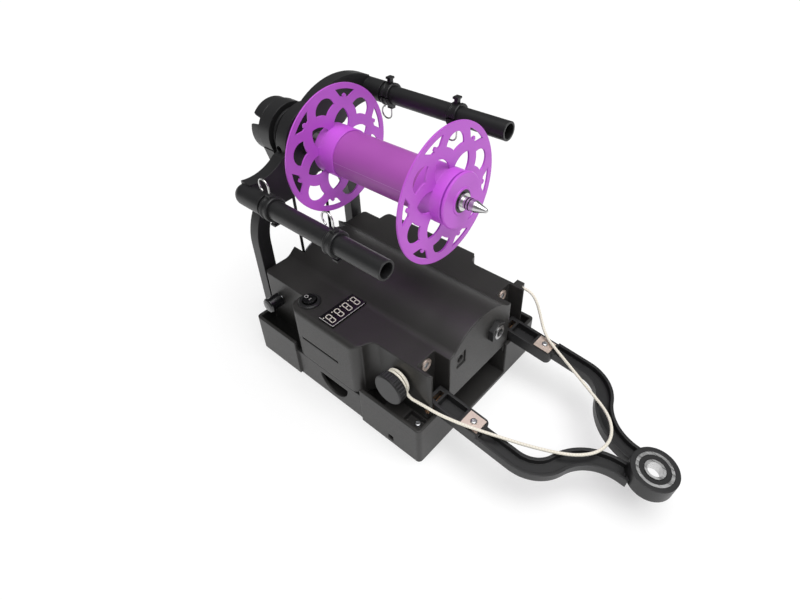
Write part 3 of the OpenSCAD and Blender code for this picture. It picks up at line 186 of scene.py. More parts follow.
def braided_cotton(name, pale, painted_groove_shade, braid, rounds):
    """Braided cotton cord: two sets of strands that cross at a slant, drawn on the tube's own map, where U
    runs round the cord and V along it in millimetres. The grooves between the strands are coloured darker, as
    painted shade."""
    material, tree, out = blank(name)
    uv = add(tree, "ShaderNodeUVMap", uv_map="tube").outputs["UV"]
    heights = []
    for lean in (1, -1):
        strands = add(tree, "ShaderNodeMapping", {"Vector": uv, "Scale": (lean * rounds, 1.0 / braid, 1.0)})
        parts = add(tree, "ShaderNodeSeparateXYZ", {"Vector": strands.outputs["Vector"]})
        slant = add(tree, "ShaderNodeMath", {0: parts.outputs["X"], 1: parts.outputs["Y"]}, operation="ADD")
        wave = add(tree, "ShaderNodeMath", {0: slant.outputs["Value"], 1: 1.0}, operation="PINGPONG")
        heights.append(wave.outputs["Value"])
    weave = add(tree, "ShaderNodeMath", {0: heights[0], 1: heights[1]}, operation="MAXIMUM").outputs["Value"]
    where = add(tree, "ShaderNodeTexCoord").outputs["Object"]
    fluff = add(tree, "ShaderNodeTexNoise", {"Vector": where, "Scale": per_mm(FLUFF), "Detail": 3.0})
    # Colour from the pale cream on the strands' crowns to a darker painted shade in the grooves between them
    tone = add(tree, "ShaderNodeMapRange", {"Value": weave, "From Min": 0.35, "From Max": 0.95})
    hue = add(tree, "ShaderNodeMix", {
        "Factor": tone.outputs["Result"], "A": linear(painted_groove_shade), "B": linear(pale)}, data_type="RGBA")
    relief = add(tree, "ShaderNodeMath", {
        0: fluff.outputs["Fac"], 1: 0.5, 2: weave}, operation="MULTIPLY_ADD")
    bump = add(tree, "ShaderNodeBump", {
        "Height": relief.outputs["Value"], "Strength": 0.4, "Distance": STRAND_DEPTH * MM})
    skin = add(tree, "ShaderNodeBsdfPrincipled", {
        "Base Color": hue.outputs["Result"], "Roughness": 0.85, "Normal": bump.outputs["Normal"],
        "Sheen Weight": 0.3, "Sheen Roughness": 0.5})
    tree.links.new(skin.outputs["BSDF"], out.inputs["Surface"])
    return material


def lit_segment(name, colour, glow):
    """Milky diffuser of a display segment, lit evenly from behind."""
    material, tree, out = blank(name)
    where = add(tree, "ShaderNodeTexCoord").outputs["Object"]
    cloud = add(tree, "ShaderNodeTexNoise", {"Vector": where, "Scale": per_mm(CLOUD), "Detail": 1.0})
    tone = add(tree, "ShaderNodeMapRange", {
        "Value": cloud.outputs["Fac"], "To Min": glow * 0.9, "To Max": glow})
    skin = add(tree, "ShaderNodeBsdfPrincipled", {
        "Base Color": linear(colour), "Roughness": 0.4, "Emission Color": linear(colour),
        "Emission Strength": tone.outputs["Result"]})
    tree.links.new(skin.outputs["BSDF"], out.inputs["Surface"])
    return material


# Charcoal ABS of the housing: a matt grey-black with a fine leathery mould grain. This grain and those of
# the other plastics are drawn coarser than real ones, at 0.4 to 0.9 mm, so that they show
HOUSING = {"colour": "#323130", "deep": "#2e2d2c", "rough": 0.42, "grain": 0.7, "relief": 0.2, "edge": 1.6}
housing_abs = moulded_plastic("charcoal_abs_moulded", **HOUSING)
# The same ABS on the cover and the tray, with the shadow line of the joint between them
joint_abs = moulded_plastic("charcoal_abs_jointed", **HOUSING)
line_across(joint_abs, JOINT_Z, half=0.15, colour="#121212")
# Blacker satin ABS of the flyer, the arms and the yoke, from a smoother mould
satin_abs = moulded_plastic("black_abs_satin", "#232324", "#1e1e1f", rough=0.4, grain=0.5, relief=0.1,
                            edge=0.6)
# Polished black knob and switch plastic, with a clear wet highlight
polished_abs = moulded_plastic("black_abs_polished", "#151517", "#101012", rough=0.16, grain=0.9, relief=0.03,
                               coat=0.5)
# Orchid purple PLA of the bobbin flanges: bright and satin
orchid_pla = moulded_plastic("orchid_purple_pla", "#d364e6", "#ca5cdd", rough=0.38, grain=0.6, relief=0.1)
# Smoked plum purple of the extruded tube between the flanges, with the pale line of its seam along it
tube_pla = moulded_plastic("plum_purple_tube", "#b45ab9", "#ab53b0", rough=0.4, grain=0.6, relief=0.12)
line_across(tube_pla, SEAM_Z, half=0.12, colour="#c98fd0", near_side=True)
# Light grey nylon of the motor pulley: pale and satin
pulley_nylon = moulded_plastic("light_grey_nylon", "#c4c6c9", "#b9bbbf", rough=0.4, grain=0.6, relief=0.1)
# Black nitrile rubber: dull, with a soft bloom
rubber = moulded_plastic("black_nitrile_rubber", "#1b1b1c", "#222223", rough=0.7, grain=0.4, relief=0.2)
# Dark smoked filter of the display: nearly black and smooth
filter_acrylic = moulded_plastic("smoked_acrylic_filter", "#131315", "#101012", rough=0.25, grain=0.8,
                                 relief=0.02)
# Green solder mask of the circuit board, seen only through gaps
board_mask = moulded_plastic("green_solder_mask", "#1c5235", "#17482e", rough=0.4, grain=0.8, relief=0.1)
# White printing on the rocker and round the display: flat and dull
print_white = moulded_plastic("white_pad_printing", "#c9c8c5", "#bebdba", rough=0.5, grain=0.4, relief=0.05)
# Ground bearing steel: bright, with faint lines along the shaft, drawn coarse so that they show
ground_steel = worked_metal("ground_bearing_steel", "#d6d6d6", rough=0.3, stretch=(0.15, 1.0, 1.0), grain=1.4,
                            relief=0.03)
# Zinc plated screw and can steel, slightly mottled
zinc_steel = worked_metal("zinc_plated_steel", "#c2c3c5", rough=0.34, stretch=(1.0, 1.0, 1.0), grain=1.2,
                          relief=0.05)
# Nickel plated magnets and strike plates, warm in tone and soft in their shine
nickel_plate = worked_metal("warm_nickel_plate", "#e2d1c6", rough=0.5, stretch=(1.0, 0.2, 1.0), grain=0.5,
                            relief=0.02)
# Drawn spring wire of the hooks: bright, with lines of the die
drawn_wire = worked_metal("drawn_spring_wire", "#d2d2d0", rough=0.25, stretch=(1.0, 1.0, 0.2), grain=0.4,
                          relief=0.1)
# Copper plated hinge pins: a warm glint in the slots
pin_steel = worked_metal("copper_plated_pin", "#e3b488", rough=0.42, stretch=(1.0, 0.2, 1.0), grain=0.5,
                         relief=0.03)
# Cream cotton cord: dull and soft, with a braid drawn at 0.9 mm, a little coarse so that it shows, and
# painted shade in the grooves between its strands
cotton = braided_cotton("cream_braided_cotton", "#f8f3e6", "#ebe4d3", braid=0.9, rounds=4)
# White segments of the display: milky, with a faint glow
segment_white = lit_segment("white_lit_diffuser", "#cfcac0", glow=0.25)

FINISH = {
    joint_abs: ["base_tray", "top_cover"],
    housing_abs: ["inner_shelf", "cord_anchor", "power_inlet"],
    satin_abs: ["flyer_arch", "flyer_bow", "orifice_quill", "whorl", "arm_tube_near", "arm_tube_far",
                "yoke_frame", "rocker_bezel", "pedal_nut", "brake_knob", "bobbin_bushes", "clip_near_a",
                "clip_near_b", "clip_far_a", "clip_far_b"],
    polished_abs: ["speed_knob", "rocker"],
    orchid_pla: ["front_flange", "rear_flange"],
    tube_pla: ["bobbin_core"],
    pulley_nylon: ["motor_pulley"],
    rubber: ["foot_pads", "arch_bearing_seals", "yoke_bearing_seals", "drive_belt"],
    filter_acrylic: ["display"],
    board_mask: ["control_board"],
    ground_steel: ["arch_bearing_outer", "arch_bearing_inner", "flyer_shaft", "yoke_bearing_outer",
                   "yoke_bearing_inner", "pedal_jack"],
    zinc_steel: ["motor", "motor_bracket", "arch_screws", "motor_screws", "cover_screws", "latch_screws",
                 "plate_screws", "brake_bolt", "speed_pot"],
    nickel_plate: ["latch_magnets", "strike_plates"],
    drawn_wire: ["hook_near_a", "hook_near_b", "hook_far_a", "hook_far_b"],
    pin_steel: ["hinge_pins"],
    cotton: ["brake_cord", "brake_winding"],
}
for material, names in FINISH.items():
    for name in names:
        nodes[name].data.materials.clear()
        nodes[name].data.materials.append(material)


def finished(bm, name):
    """Plain mesh of a working mesh, with its faces pointing outwards."""
    bmesh.ops.recalc_face_normals(bm, faces=bm.faces)
    mesh = bpy.data.meshes.new(name)
    bm.to_mesh(mesh)
    bm.free()
    return mesh


def wall(bm, low, high, smooth=False):
    """Closes the strip between two loops with as many points."""
    for k in range(len(low)):
        m = (k + 1) % len(low)
        bm.faces.new((low[k], low[m], high[m], high[k])).smooth = smooth


def settle(name, mesh, material, body, slot, *replaced):
    """Object at the origin from a finished mesh, with its finish, its body and the CAD nodes that it stands
    for."""
    piece = bpy.data.objects.new(name, mesh)
    scene.collection.objects.link(piece)
    mesh.materials.clear()
    mesh.materials.append(material)
    if body:
        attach(piece, body)
    if replaced:
        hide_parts(*replaced)
    return piece


def tube_mesh(name, route, radius, sides, closed=False):
    """Tube along a route in metres. Its map runs once round in U, and in V along the route in millimetres."""
    steep = 0.9
    count = len(route)
    points = [Vector(p) for p in route]
    rings, normal = [], None
    bm = bmesh.new()
    layer = bm.loops.layers.uv.new("tube")
    length, along = 0.0, [0.0]
    for i in range(count):
        before = points[i - 1] if i or closed else points[0]
        after = points[(i + 1) % count] if i + 1 < count or closed else points[-1]
        forward = (after - before).normalized()
        if normal is None:
            start = Vector((0, 0, 1)) if abs(forward.z) < steep else Vector((1, 0, 0))
            normal = start - forward * start.dot(forward)
        else:
            normal = normal - forward * normal.dot(forward)
        normal.normalize()
        other = forward.cross(normal)
        rings.append([bm.verts.new(points[i] + radius * (c * normal + s * other)) for c, s in circle(sides)])
        if i:
            length += (points[i] - points[i - 1]).length
            along.append(length / MM)
    if closed:
        along.append((length + (points[0] - points[-1]).length) / MM)
    for i in range(count if closed else count - 1):
        lower, upper = rings[i], rings[(i + 1) % count]
        for k in range(sides):
            m = (k + 1) % sides
            face = bm.faces.new((lower[k], lower[m], upper[m], upper[k]))
            face.smooth = True
            for loop, u, v in zip(face.loops, (k, k + 1, k + 1, k), (i, i, i + 1, i + 1)):
                loop[layer].uv = (u / sides, along[v])
    if not closed:
        bm.faces.new(rings[0][::-1])
        bm.faces.new(rings[-1])
    return finished(bm, name)


def smooth_route(points, step):
    """Even points along a smooth curve through the given ones, in metres."""
    span_steps = 24
    p = [Vector(q) * MM for q in points]
    p = [p[0] * 2 - p[1]] + p + [p[-1] * 2 - p[-2]]
    dense = []
    for i in range(1, len(p) - 2):
        a, b, c, d = p[i - 1], p[i], p[i + 1], p[i + 2]
        for k in range(span_steps):
            t = k / span_steps
            dense.append(0.5 * (2 * b + (c - a) * t + (2 * a - 5 * b + 4 * c - d) * t * t
                                + (3 * b - a - 3 * c + d) * t * t * t))
    dense.append(p[-2])
    even, carried = [dense[0]], 0.0
    for a, b in zip(dense, dense[1:]):
        carried += (b - a).length
        if carried >= step:
            even.append(b)
            carried = 0.0
    if (even[-1] - dense[-1]).length < step / 2:
        even.pop()
    even.append(dense[-1])
    return even


# Brake cord, on the route of the part's source
CORD_STEP = 0.0016
CORD_SIDES = 16
CORD_ROUTE = [
    (64, -57.5, 51.1), (65.2, -57.4, 47.4), (67.6, -56.8, 44.8), (71, -55.7, 43.2), (75, -54.7, 42.2),
    (79, -54, 41.6), (84, -53.4, 41.4), (89, -52.6, 41.3), (94, -51.5, 41.2), (99, -50.2, 41),
    (104, -48.7, 40.8), (109, -46.9, 40.4), (115, -44.5, 39.7), (121, -42, 39), (127, -39.4, 38.3),
    (133, -36.8, 37.6), (139, -34, 36.9), (145, -31, 36.2), (151, -27.8, 35.6), (157, -24.2, 35),
    (163, -19.8, 34.4), (168, -14.6, 33.9), (171.6, -9, 33.6), (173.4, -3, 33.4), (173.6, 3, 33.4),
    (172, 9, 33.6), (168.6, 14.6, 33.9), (164, 19, 34.3), (158.6, 22.4, 34.8), (153, 25, 35.4),
    (147, 27.6, 36.1), (141, 30.2, 36.8), (135, 32.8, 37.5), (129, 35.4, 38.2), (123, 38, 38.9),
    (117, 40.6, 39.6), (111, 43.2, 40.4), (105, 46, 41.8), (99.6, 49, 45.2), (95.4, 51.6, 50.2),
    (92, 53.2, 55.6), (88.6, 54.2, 60.8), (84.8, 54.7, 64.6), (80.4, 54.9, 66.2), (76, 54.9, 66.4),
]
cord_path = smooth_route(CORD_ROUTE, CORD_STEP)
cord_mesh = tube_mesh("brake_cord_braid", cord_path, CORD_D / 2 * MM, CORD_SIDES)
brake_cord = settle("brake_cord_braid", cord_mesh, cotton, None, "cord", "brake_cord")
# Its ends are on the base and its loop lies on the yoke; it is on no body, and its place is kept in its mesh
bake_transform(brake_cord)

# Turns of the same cord on the brake spool: they start at WIND_Y, and the last one ends at WIND_END degrees
WIND_R = 8.3
WIND_Y = -53.65
WIND_PITCH = 2.45
WIND_LOOPS = 1.5 + 32 / 360
WIND_END = 18.0
WIND_STEPS = 120
turns = []
for i in range(WIND_STEPS + 1):
    done = WIND_LOOPS * i / WIND_STEPS
    a = math.radians(WIND_END + 360 * (WIND_LOOPS - done))
    turns.append(Vector((BRAKE_X + WIND_R * math.cos(a), WIND_Y - WIND_PITCH * done,
                         BRAKE_Z + WIND_R * math.sin(a))))
turns.insert(0, turns[0] + (turns[0] - turns[1]).normalized() * CORD_D)
turns.append(turns[-1] + (turns[-1] - turns[-2]).normalized() * CORD_D)
winding = tube_mesh("brake_winding_braid", [p * MM for p in turns], CORD_D / 2 * MM, CORD_SIDES)
settle("brake_winding_braid", winding, cotton, "brake_knob", "cord", "brake_winding")

# Round belt over both pulleys
BELT_STEPS = 48
BELT_SIDES = 20
lean = math.asin((WHORL_R - PULLEY_R) / (AXIS_Z - MOTOR_Z))
belt = []
for z, r, a0, a1 in ((AXIS_Z, WHORL_R, -lean, math.pi + lean),
                     (MOTOR_Z, PULLEY_R, math.pi + lean, 2 * math.pi - lean)):
    for i in range(BELT_STEPS + 1):
        a = a0 + (a1 - a0) * i / BELT_STEPS
        belt.append(Vector((BELT_X, r * math.cos(a), z + r * math.sin(a))) * MM)
belt_mesh = tube_mesh("belt_loop", belt, BELT_D / 2 * MM, BELT_SIDES, closed=True)
settle("belt_loop", belt_mesh, rubber, "base", "rubber", "drive_belt")


def cross_head():
    """Screw head of radius 1 and height 1: a low dome with a cross recess in its flat top."""
    bm = bmesh.new()
    sides, depth, arm, half = 24, 0.35, 0.5, 0.13
    dome = ((1, 0), (1, 0.45), (0.9, 0.75), (0.72, 0.94), (0.6, 1))
    plus = [(half, half), (half, arm), (-half, arm), (-half, half), (-arm, half), (-arm, -half),
            (-half, -half), (-half, -arm), (half, -arm), (half, -half), (arm, -half), (arm, half)]
    rings = [[bm.verts.new((x, y, z)) for x, y in circle(sides, r)] for r, z in dome]
    for lower, upper in zip(rings, rings[1:]):
        wall(bm, lower, upper, smooth=True)
    lip = [bm.verts.new((x, y, 1)) for x, y in plus]
    well = [bm.verts.new((x, y, 1 - depth)) for x, y in plus]
    top = rings[-1] + lip
    for tri in tessellate_polygon([[v.co for v in rings[-1]], [v.co for v in lip]]):
        bm.faces.new([top[i] for i in tri])
    wall(bm, lip, well)
    bm.faces.new(well)
    bm.faces.new(rings[0])
    return finished(bm, "cross_head")


# Screw heads: a tree that sets one head at each place, turned to its aim and scaled to its size
screw_tree = bpy.data.node_groups.new("screw_heads", "GeometryNodeTree")
for label, kind in (("Places", "NodeSocketGeometry"), ("Head", "NodeSocketObject"),
                    ("Finish", "NodeSocketMaterial")):
    screw_tree.interface.new_socket(label, in_out="INPUT", socket_type=kind)
screw_tree.interface.new_socket("Screws", in_out="OUTPUT", socket_type="NodeSocketGeometry")
given = add(screw_tree, "NodeGroupInput")
shape = add(screw_tree, "GeometryNodeObjectInfo", {"Object": given.outputs["Head"]})
aim = add(screw_tree, "GeometryNodeInputNamedAttribute", {"Name": "aim"}, data_type="FLOAT_VECTOR")
size = add(screw_tree, "GeometryNodeInputNamedAttribute", {"Name": "size"}, data_type="FLOAT_VECTOR")
aimed = add(screw_tree, "FunctionNodeAlignRotationToVector", {"Vector": aim.outputs["Attribute"]}, axis="Z")
placed = add(screw_tree, "GeometryNodeInstanceOnPoints", {
    "Points": given.outputs["Places"], "Instance": shape.outputs["Geometry"],
    "Rotation": aimed.outputs["Rotation"], "Scale": size.outputs["Attribute"]})
real = add(screw_tree, "GeometryNodeRealizeInstances", {"Geometry": placed.outputs["Instances"]})
coated = add(screw_tree, "GeometryNodeSetMaterial", {
    "Geometry": real.outputs["Geometry"], "Material": given.outputs["Finish"]})
add(screw_tree, "NodeGroupOutput", {"Screws": coated.outputs["Geometry"]})


def screws(name, places, body, replaced):
    """Screws of one body, from rows of place, aim, radius and height in millimetres, for a CAD node."""
    head = bpy.data.objects.new(name + "_head", cross_head())
    seats = bpy.data.meshes.new(name)
    seats.from_pydata([tuple(c * MM for c in place) for place, _, _, _ in places], [], [])
    for label in ("aim", "size"):
        seats.attributes.new(label, "FLOAT_VECTOR", "POINT")
    for i, (_, way, radius, height) in enumerate(places):
        seats.attributes["aim"].data[i].vector = way
        seats.attributes["size"].data[i].vector = (radius * MM, radius * MM, height * MM)
    holder = bpy.data.objects.new(name, seats)
    scene.collection.objects.link(head)
    scene.collection.objects.link(holder)
    work = holder.modifiers.new("screw_heads", "NODES")
    sockets = screw_tree.interface.items_tree
    inputs = {item.name: item.identifier for item in sockets if item.in_out == "INPUT"}
    work.node_group = screw_tree
    work[inputs["Head"]] = head
    work[inputs["Finish"]] = zinc_steel
    mesh = bpy.data.meshes.new_from_object(holder.evaluated_get(bpy.context.evaluated_depsgraph_get()))
    bpy.data.objects.remove(holder)
    bpy.data.objects.remove(head)
    settle(name, mesh, zinc_steel, body, "steel", replaced)


# Places of the screws, and the radius and height of each kind of head
ARCH_X0, ARCH_SCREW_Y, ARCH_SCREW_DROPS, ARCH_HEAD = -91.5, 45.75, (12, 2), (2.5, 1.6)
WELL_SCREW, WELL_HEAD = (72.5, -56.5, 22.0), (2.4, 1.6)
SLOT_Y, PLATE_U = 42.0, 28.0
MAGNET_X, MAGNET_SINK, MAGNET_HEAD = 68.6, 0.9, (2.4, 0.8)
RIM_V, PLATE_SEAT, PLATE_HEAD, DROOP = 6.5, 0.3, (2.2, 1.3), math.radians(6)
screws("arch_screw_heads", [((ARCH_X0, y, JOINT_Z - drop), (-1, 0, 0), *ARCH_HEAD)
                            for y in (-ARCH_SCREW_Y, ARCH_SCREW_Y) for drop in ARCH_SCREW_DROPS],
       "base", "arch_screws")
screws("well_screw_head", [(WELL_SCREW, (0, 0, 1), *WELL_HEAD)], "base", "cover_screws")
screws("magnet_screw_heads", [((MAGNET_X - MAGNET_SINK, y, PIVOT_Z + PLATE_U), (1, 0, 0), *MAGNET_HEAD)
                              for y in (-SLOT_Y, SLOT_Y)], "base", "latch_screws")
plate_way = (math.sin(DROOP), 0, math.cos(DROOP))
plate_rise = RIM_V + PLATE_SEAT
plate_x = PIVOT_X + PLATE_U * math.cos(DROOP) + plate_rise * plate_way[0]
plate_z = PIVOT_Z - PLATE_U * math.sin(DROOP) + plate_rise * plate_way[2]
screws("plate_screw_heads", [((plate_x, y, plate_z), plate_way, *PLATE_HEAD) for y in (-SLOT_Y, SLOT_Y)],
       "yoke", "plate_screws")


def raised(name, shapes, z0, z1, material, body, slot, dish=0.0, middle=0.0):
    """Thin marks from flat outlines in millimetres, standing from z0 to z1. On a dished face they rise by
    dish times the square of their distance from its middle along X."""
    bm = bmesh.new()
    for outline in shapes:
        low = [bm.verts.new((x * MM, y * MM, z0 * MM)) for x, y in outline]
        high = [bm.verts.new((x * MM, y * MM, (z1 + dish * (x - middle) ** 2) * MM)) for x, y in outline]
        bm.faces.new(low[::-1])
        bm.faces.new(high)
        wall(bm, low, high)
    settle(name, finished(bm, name), material, body, slot)


def turned(bm, profile, y, z, sides=72):
    """Adds a closed outline of radius and place along X, in millimetres, turned round a line through y, z."""
    rings = [[bm.verts.new(Vector((x, y + r * c, z + r * s)) * MM) for r, x in profile]
             for c, s in circle(sides)]
    for here, after in zip(rings, rings[1:] + rings[:1]):
        wall(bm, here, after, smooth=True)


def window(middle, limits, count=84):
    """Outline of a window round a point on the X axis: in each direction it ends at the nearest of these
    circles, given by centre and radius."""
    outline = []
    for way in (Vector(q) for q in circle(count)):
        reach = []
        for x, y, r in limits:
            off = Vector((middle - x, -y))
            b, q = off.dot(way), off.length_squared - r * r
            if q < 0:
                reach.append(-b + math.sqrt(b * b - q))
            elif b < 0 and b * b > q:
                reach.append(-b - math.sqrt(b * b - q))
        outline.append(Vector((middle, 0)) + way * min(reach))
    return outline


# Bobbin flanges, on the places of the part's source. The photograph shows lace of about 1 mm with wider
# windows under the rim than the source has, so it is drawn so here
FLANGE_R = 43.5
LACE = 1.1
COLLAR_R = 16.8
PETALS = 6
# Leaf windows: a lens between two arcs, cut off by the collar
LEAF_MID, LEAF_HALF, LEAF_EYE, LEAF_TIP = 17.0, 6.6, 21.5, 0.64 * FLANGE_R
LEAF_GAP = 0.1
leaf_bow = (LEAF_HALF + (LEAF_TIP - LEAF_MID) ** 2 / LEAF_HALF) / 2
leaf = window(LEAF_EYE, [(LEAF_MID, leaf_bow - LEAF_HALF, leaf_bow),
                         (LEAF_MID, LEAF_HALF - leaf_bow, leaf_bow), (0, 0, COLLAR_R + LEAF_GAP)])
# Lobe windows: a circle between the bands round two neighbouring leaves
LOBE_EYE, LOBE_OUT, LOBE_R = 0.75 * FLANGE_R, 0.682 * FLANGE_R, 0.186 * FLANGE_R
BAND_OUT, BAND_R = 0.44 * FLANGE_R, 0.312 * FLANGE_R
band_x, band_y = BAND_OUT * math.cos(math.pi / PETALS), BAND_OUT / 2
lobe = window(LOBE_EYE, [(LOBE_OUT, 0, LOBE_R), (band_x, band_y, BAND_R), (band_x, -band_y, BAND_R)])
# Windows under the rim: an arc along the rim, and a foot with a small round cusp
RIM_R, RIM_SPREAD, RIM_STEPS = 0.915 * FLANGE_R, 12.4, 16
FOOT_R, FOOT_HALF, CUSP = 0.795 * FLANGE_R, 0.082 * FLANGE_R, 0.038 * FLANGE_R
rim_angles = [math.radians(-RIM_SPREAD + 2 * RIM_SPREAD * k / RIM_STEPS) for k in range(RIM_STEPS + 1)]
foot_side = [(FOOT_R, FOOT_HALF), (FOOT_R, 0.6 * CUSP), (FOOT_R + 0.5 * CUSP, CUSP),
             (FOOT_R + CUSP, 0.55 * CUSP)]
foot = foot_side + [(FOOT_R + 1.35 * CUSP, 0)] + [(x, -y) for x, y in reversed(foot_side)]
spandrel = [Vector((math.cos(a), math.sin(a))) * RIM_R for a in rim_angles] + [Vector(q) for q in foot]


def flange(name, x0, x1, turn, profile, replaced):
    """Pierced disc between two places along the axis, its pattern turned by some degrees, and its hub."""
    hub_r, rim_sides, hub_sides, crease = 16.2, 144, 72, math.radians(30)
    loops = [[Vector(q) * r for q in circle(n)] for r, n in ((FLANGE_R, rim_sides), (hub_r, hub_sides))]
    step = 360 / PETALS
    for k in range(PETALS):
        for outline, lead in ((leaf, 0), (spandrel, 0), (lobe, step / 2)):
            a = math.radians(turn + lead + step * k)
            loops.append([Vector((q.x * math.cos(a) - q.y * math.sin(a),
                                  q.x * math.sin(a) + q.y * math.cos(a))) for q in outline])
    bm = bmesh.new()
    faces = [[[bm.verts.new(Vector((x, q.x, AXIS_Z + q.y)) * MM) for q in loop] for loop in loops]
             for x in (x0, x1)]
    for tri in tessellate_polygon([[q.to_3d() for q in loop] for loop in loops]):
        for face in faces:
            row = [v for loop in face for v in loop]
            bm.faces.new([row[i] for i in tri])
    for low, high in zip(*faces):
        wall(bm, low, high)
    turned(bm, profile, 0, AXIS_Z)
    mesh = finished(bm, name)
    mesh.set_sharp_from_angle(angle=crease)
    settle(name, mesh, orchid_pla, "bobbin", "purple_plastic", replaced)


# Hubs, as rows of radius and place along X: at the front the collar, the neck, the brake groove, its lip
# and the boss, at the rear a cone and the collar
BORE_R, SEAT_R, NECK_R, GROOVE_R, LIP_R, EASE = 7.05, 15.85, 16.9, 13.6, 17.4, 0.3
FRONT_FACE, FRONT_TURN = 50.5, 49.0
REAR_FACE, REAR_TURN = -41.9, 13.6
FRONT_HUB = [
    (SEAT_R, 36.9), (COLLAR_R - EASE, 36.9), (COLLAR_R, 36.9 + EASE), (COLLAR_R, 49.5), (NECK_R, 49.5),
    (NECK_R, 57.0), (NECK_R - EASE, 57.0 + EASE), (GROOVE_R, 57.5), (GROOVE_R, 58.5), (LIP_R - EASE, 58.7),
    (LIP_R, 58.7 + EASE), (LIP_R, 59.9), (LIP_R - 2 * EASE, 60.5), (8.6, 60.5), (8.2, 61.1), (BORE_R, 61.1),
    (BORE_R, 48.9), (SEAT_R, 48.9)]
REAR_HUB = [
    (BORE_R, -53.1), (9.0, -53.1), (COLLAR_R, -47.5), (COLLAR_R, -29.9 - EASE), (COLLAR_R - EASE, -29.9),
    (SEAT_R, -29.9), (SEAT_R, REAR_FACE), (BORE_R, REAR_FACE)]
flange("front_flange_lace", FRONT_FACE - LACE, FRONT_FACE, FRONT_TURN, FRONT_HUB, "front_flange")
flange("rear_flange_lace", REAR_FACE - LACE, REAR_FACE, REAR_TURN, REAR_HUB, "rear_flange")

# Bright centre pin of the power inlet, over the one in its CAD node
INLET_Y, INLET_Z = -22.0, 60.0
PIN_ROOT, PIN_R, PIN_EYE, PIN_SIDES = 70.5, 1.05, 0.2, 24
PIN_OUTLINE = [(PIN_EYE, PIN_ROOT), (PIN_R, PIN_ROOT), (PIN_R, 77.6), (0.8, 78.05), (PIN_EYE, 78.2)]
pin = bmesh.new()
turned(pin, PIN_OUTLINE, INLET_Y, INLET_Z, PIN_SIDES)
settle("inlet_pin", finished(pin, "inlet_pin"), zinc_steel, "base", "steel")

# Display: four digits that read from the orifice end, each a slanted 8 of seven bars with a point at its
# foot
DIGITS, DIGIT_TALL, DIGIT_WIDE, BAR, BAR_GAP, SLANT = 4, 8.7, 4.1, 0.66, 0.12, 0.8
DIGIT_FOOT_X, FIRST_DIGIT_Y, DIGIT_PITCH = -7.4, -56.4, 7.55
POINT_R, POINT_GAP, POINT_SIDES = 0.5, 0.9, 12
MARK_SINK, DIGIT_RISE, PRINT_RISE = 0.05, 0.06, 0.05
BAR_ENDS = [((-1, -1), (-1, 1)), ((0, -1), (0, 1)), ((1, -1), (1, 1)), ((-1, -1), (0, -1)),
            ((-1, 1), (0, 1)), ((0, -1), (1, -1)), ((0, 1), (1, 1))]
half_tall, half_wide = DIGIT_TALL / 2 - BAR / 2, DIGIT_WIDE / 2 - BAR / 2
digit_marks = []
for digit in range(DIGITS):
    middle_y = FIRST_DIGIT_Y + digit * DIGIT_PITCH
    for start, stop in BAR_ENDS:
        a = Vector((start[0] * half_tall, start[1] * half_wide))
        b = Vector((stop[0] * half_tall, stop[1] * half_wide))
        along = (b - a).normalized()
        across = Vector((-along.y, along.x)) * BAR / 2
        a, b = a + along * BAR_GAP, b - along * BAR_GAP
        tip = along * BAR / 2
        outline = [a, a + tip + across, b - tip + across, b, b - tip - across, a + tip - across]
        digit_marks.append([(DIGIT_FOOT_X + DIGIT_TALL / 2 + p.x,
                             middle_y + p.y - SLANT * (p.x / DIGIT_TALL)) for p in outline])
    point_y = middle_y - DIGIT_WIDE / 2 - POINT_GAP
    digit_marks.append([(DIGIT_FOOT_X + POINT_R + x, point_y + y) for x, y in circle(POINT_SIDES, POINT_R)])
raised("display_digits", digit_marks, DISPLAY_TOP - MARK_SINK, DISPLAY_TOP + DIGIT_RISE, segment_white,
       "base", "glass_black")
# White lines along two of its edges
EDGE_X0, EDGE_X1, EDGE_Y0, EDGE_Y1, EDGE_LINE = -9.7, 3.4, -60.9, -31.2, 0.5
edge_lines = [box(EDGE_X1, EDGE_Y0, EDGE_X1 + EDGE_LINE, EDGE_Y1),
              box(EDGE_X0, EDGE_Y0, EDGE_X1, EDGE_Y0 + EDGE_LINE)]
raised("display_edge_lines", edge_lines, DISPLAY_TOP - MARK_SINK, DISPLAY_TOP + PRINT_RISE, print_white,
       "base", "glass_black")

# Rocker marks on the dished paddle: a ring for off and a bar for on
ROCKER_X, ROCKER_Y, PADDLE_TOP, PADDLE_DISH = -27.8, -53.5, 72.0, 0.0125
OFF_X, OFF_OUTER, OFF_INNER, OFF_SIDES = ROCKER_X - 3.0, 1.45, 1.0, 32
ON_X, ON_WIDE, ON_HALF = ROCKER_X + 0.6, 0.5, 1.2
PRINT_ROOT = 0.4
outer, inner = ([(OFF_X + x, ROCKER_Y + y) for x, y in circle(OFF_SIDES, r)]
                for r in (OFF_OUTER, OFF_INNER))
rocker_marks = [[outer[k - 1], outer[k], inner[k], inner[k - 1]] for k in range(OFF_SIDES)]
rocker_marks.append(box(ON_X, ROCKER_Y - ON_HALF, ON_X + ON_WIDE, ROCKER_Y + ON_HALF))
raised("rocker_marks", rocker_marks, PADDLE_TOP - PRINT_ROOT, PADDLE_TOP + PRINT_RISE, print_white,
       "rocker", "gloss_black", dish=PADDLE_DISH, middle=ROCKER_X)

# Two rubber rings in the grooves of the shaft's seat
RING_PLACES = {"shaft_ring_a": 2.45, "shaft_ring_b": 4.25}
RING_R, RING_THICK, RING_STEPS, RING_SIDES = 3.35, 0.9, 48, 12
for name, place in RING_PLACES.items():
    ring = [Vector((SHOULDER_X + place, y, AXIS_Z + z)) * MM for y, z in circle(RING_STEPS, RING_R)]
    ring_mesh = tube_mesh(name, ring, RING_THICK / 2 * MM, RING_SIDES, closed=True)
    settle(name, ring_mesh, rubber, "flyer", "rubber")

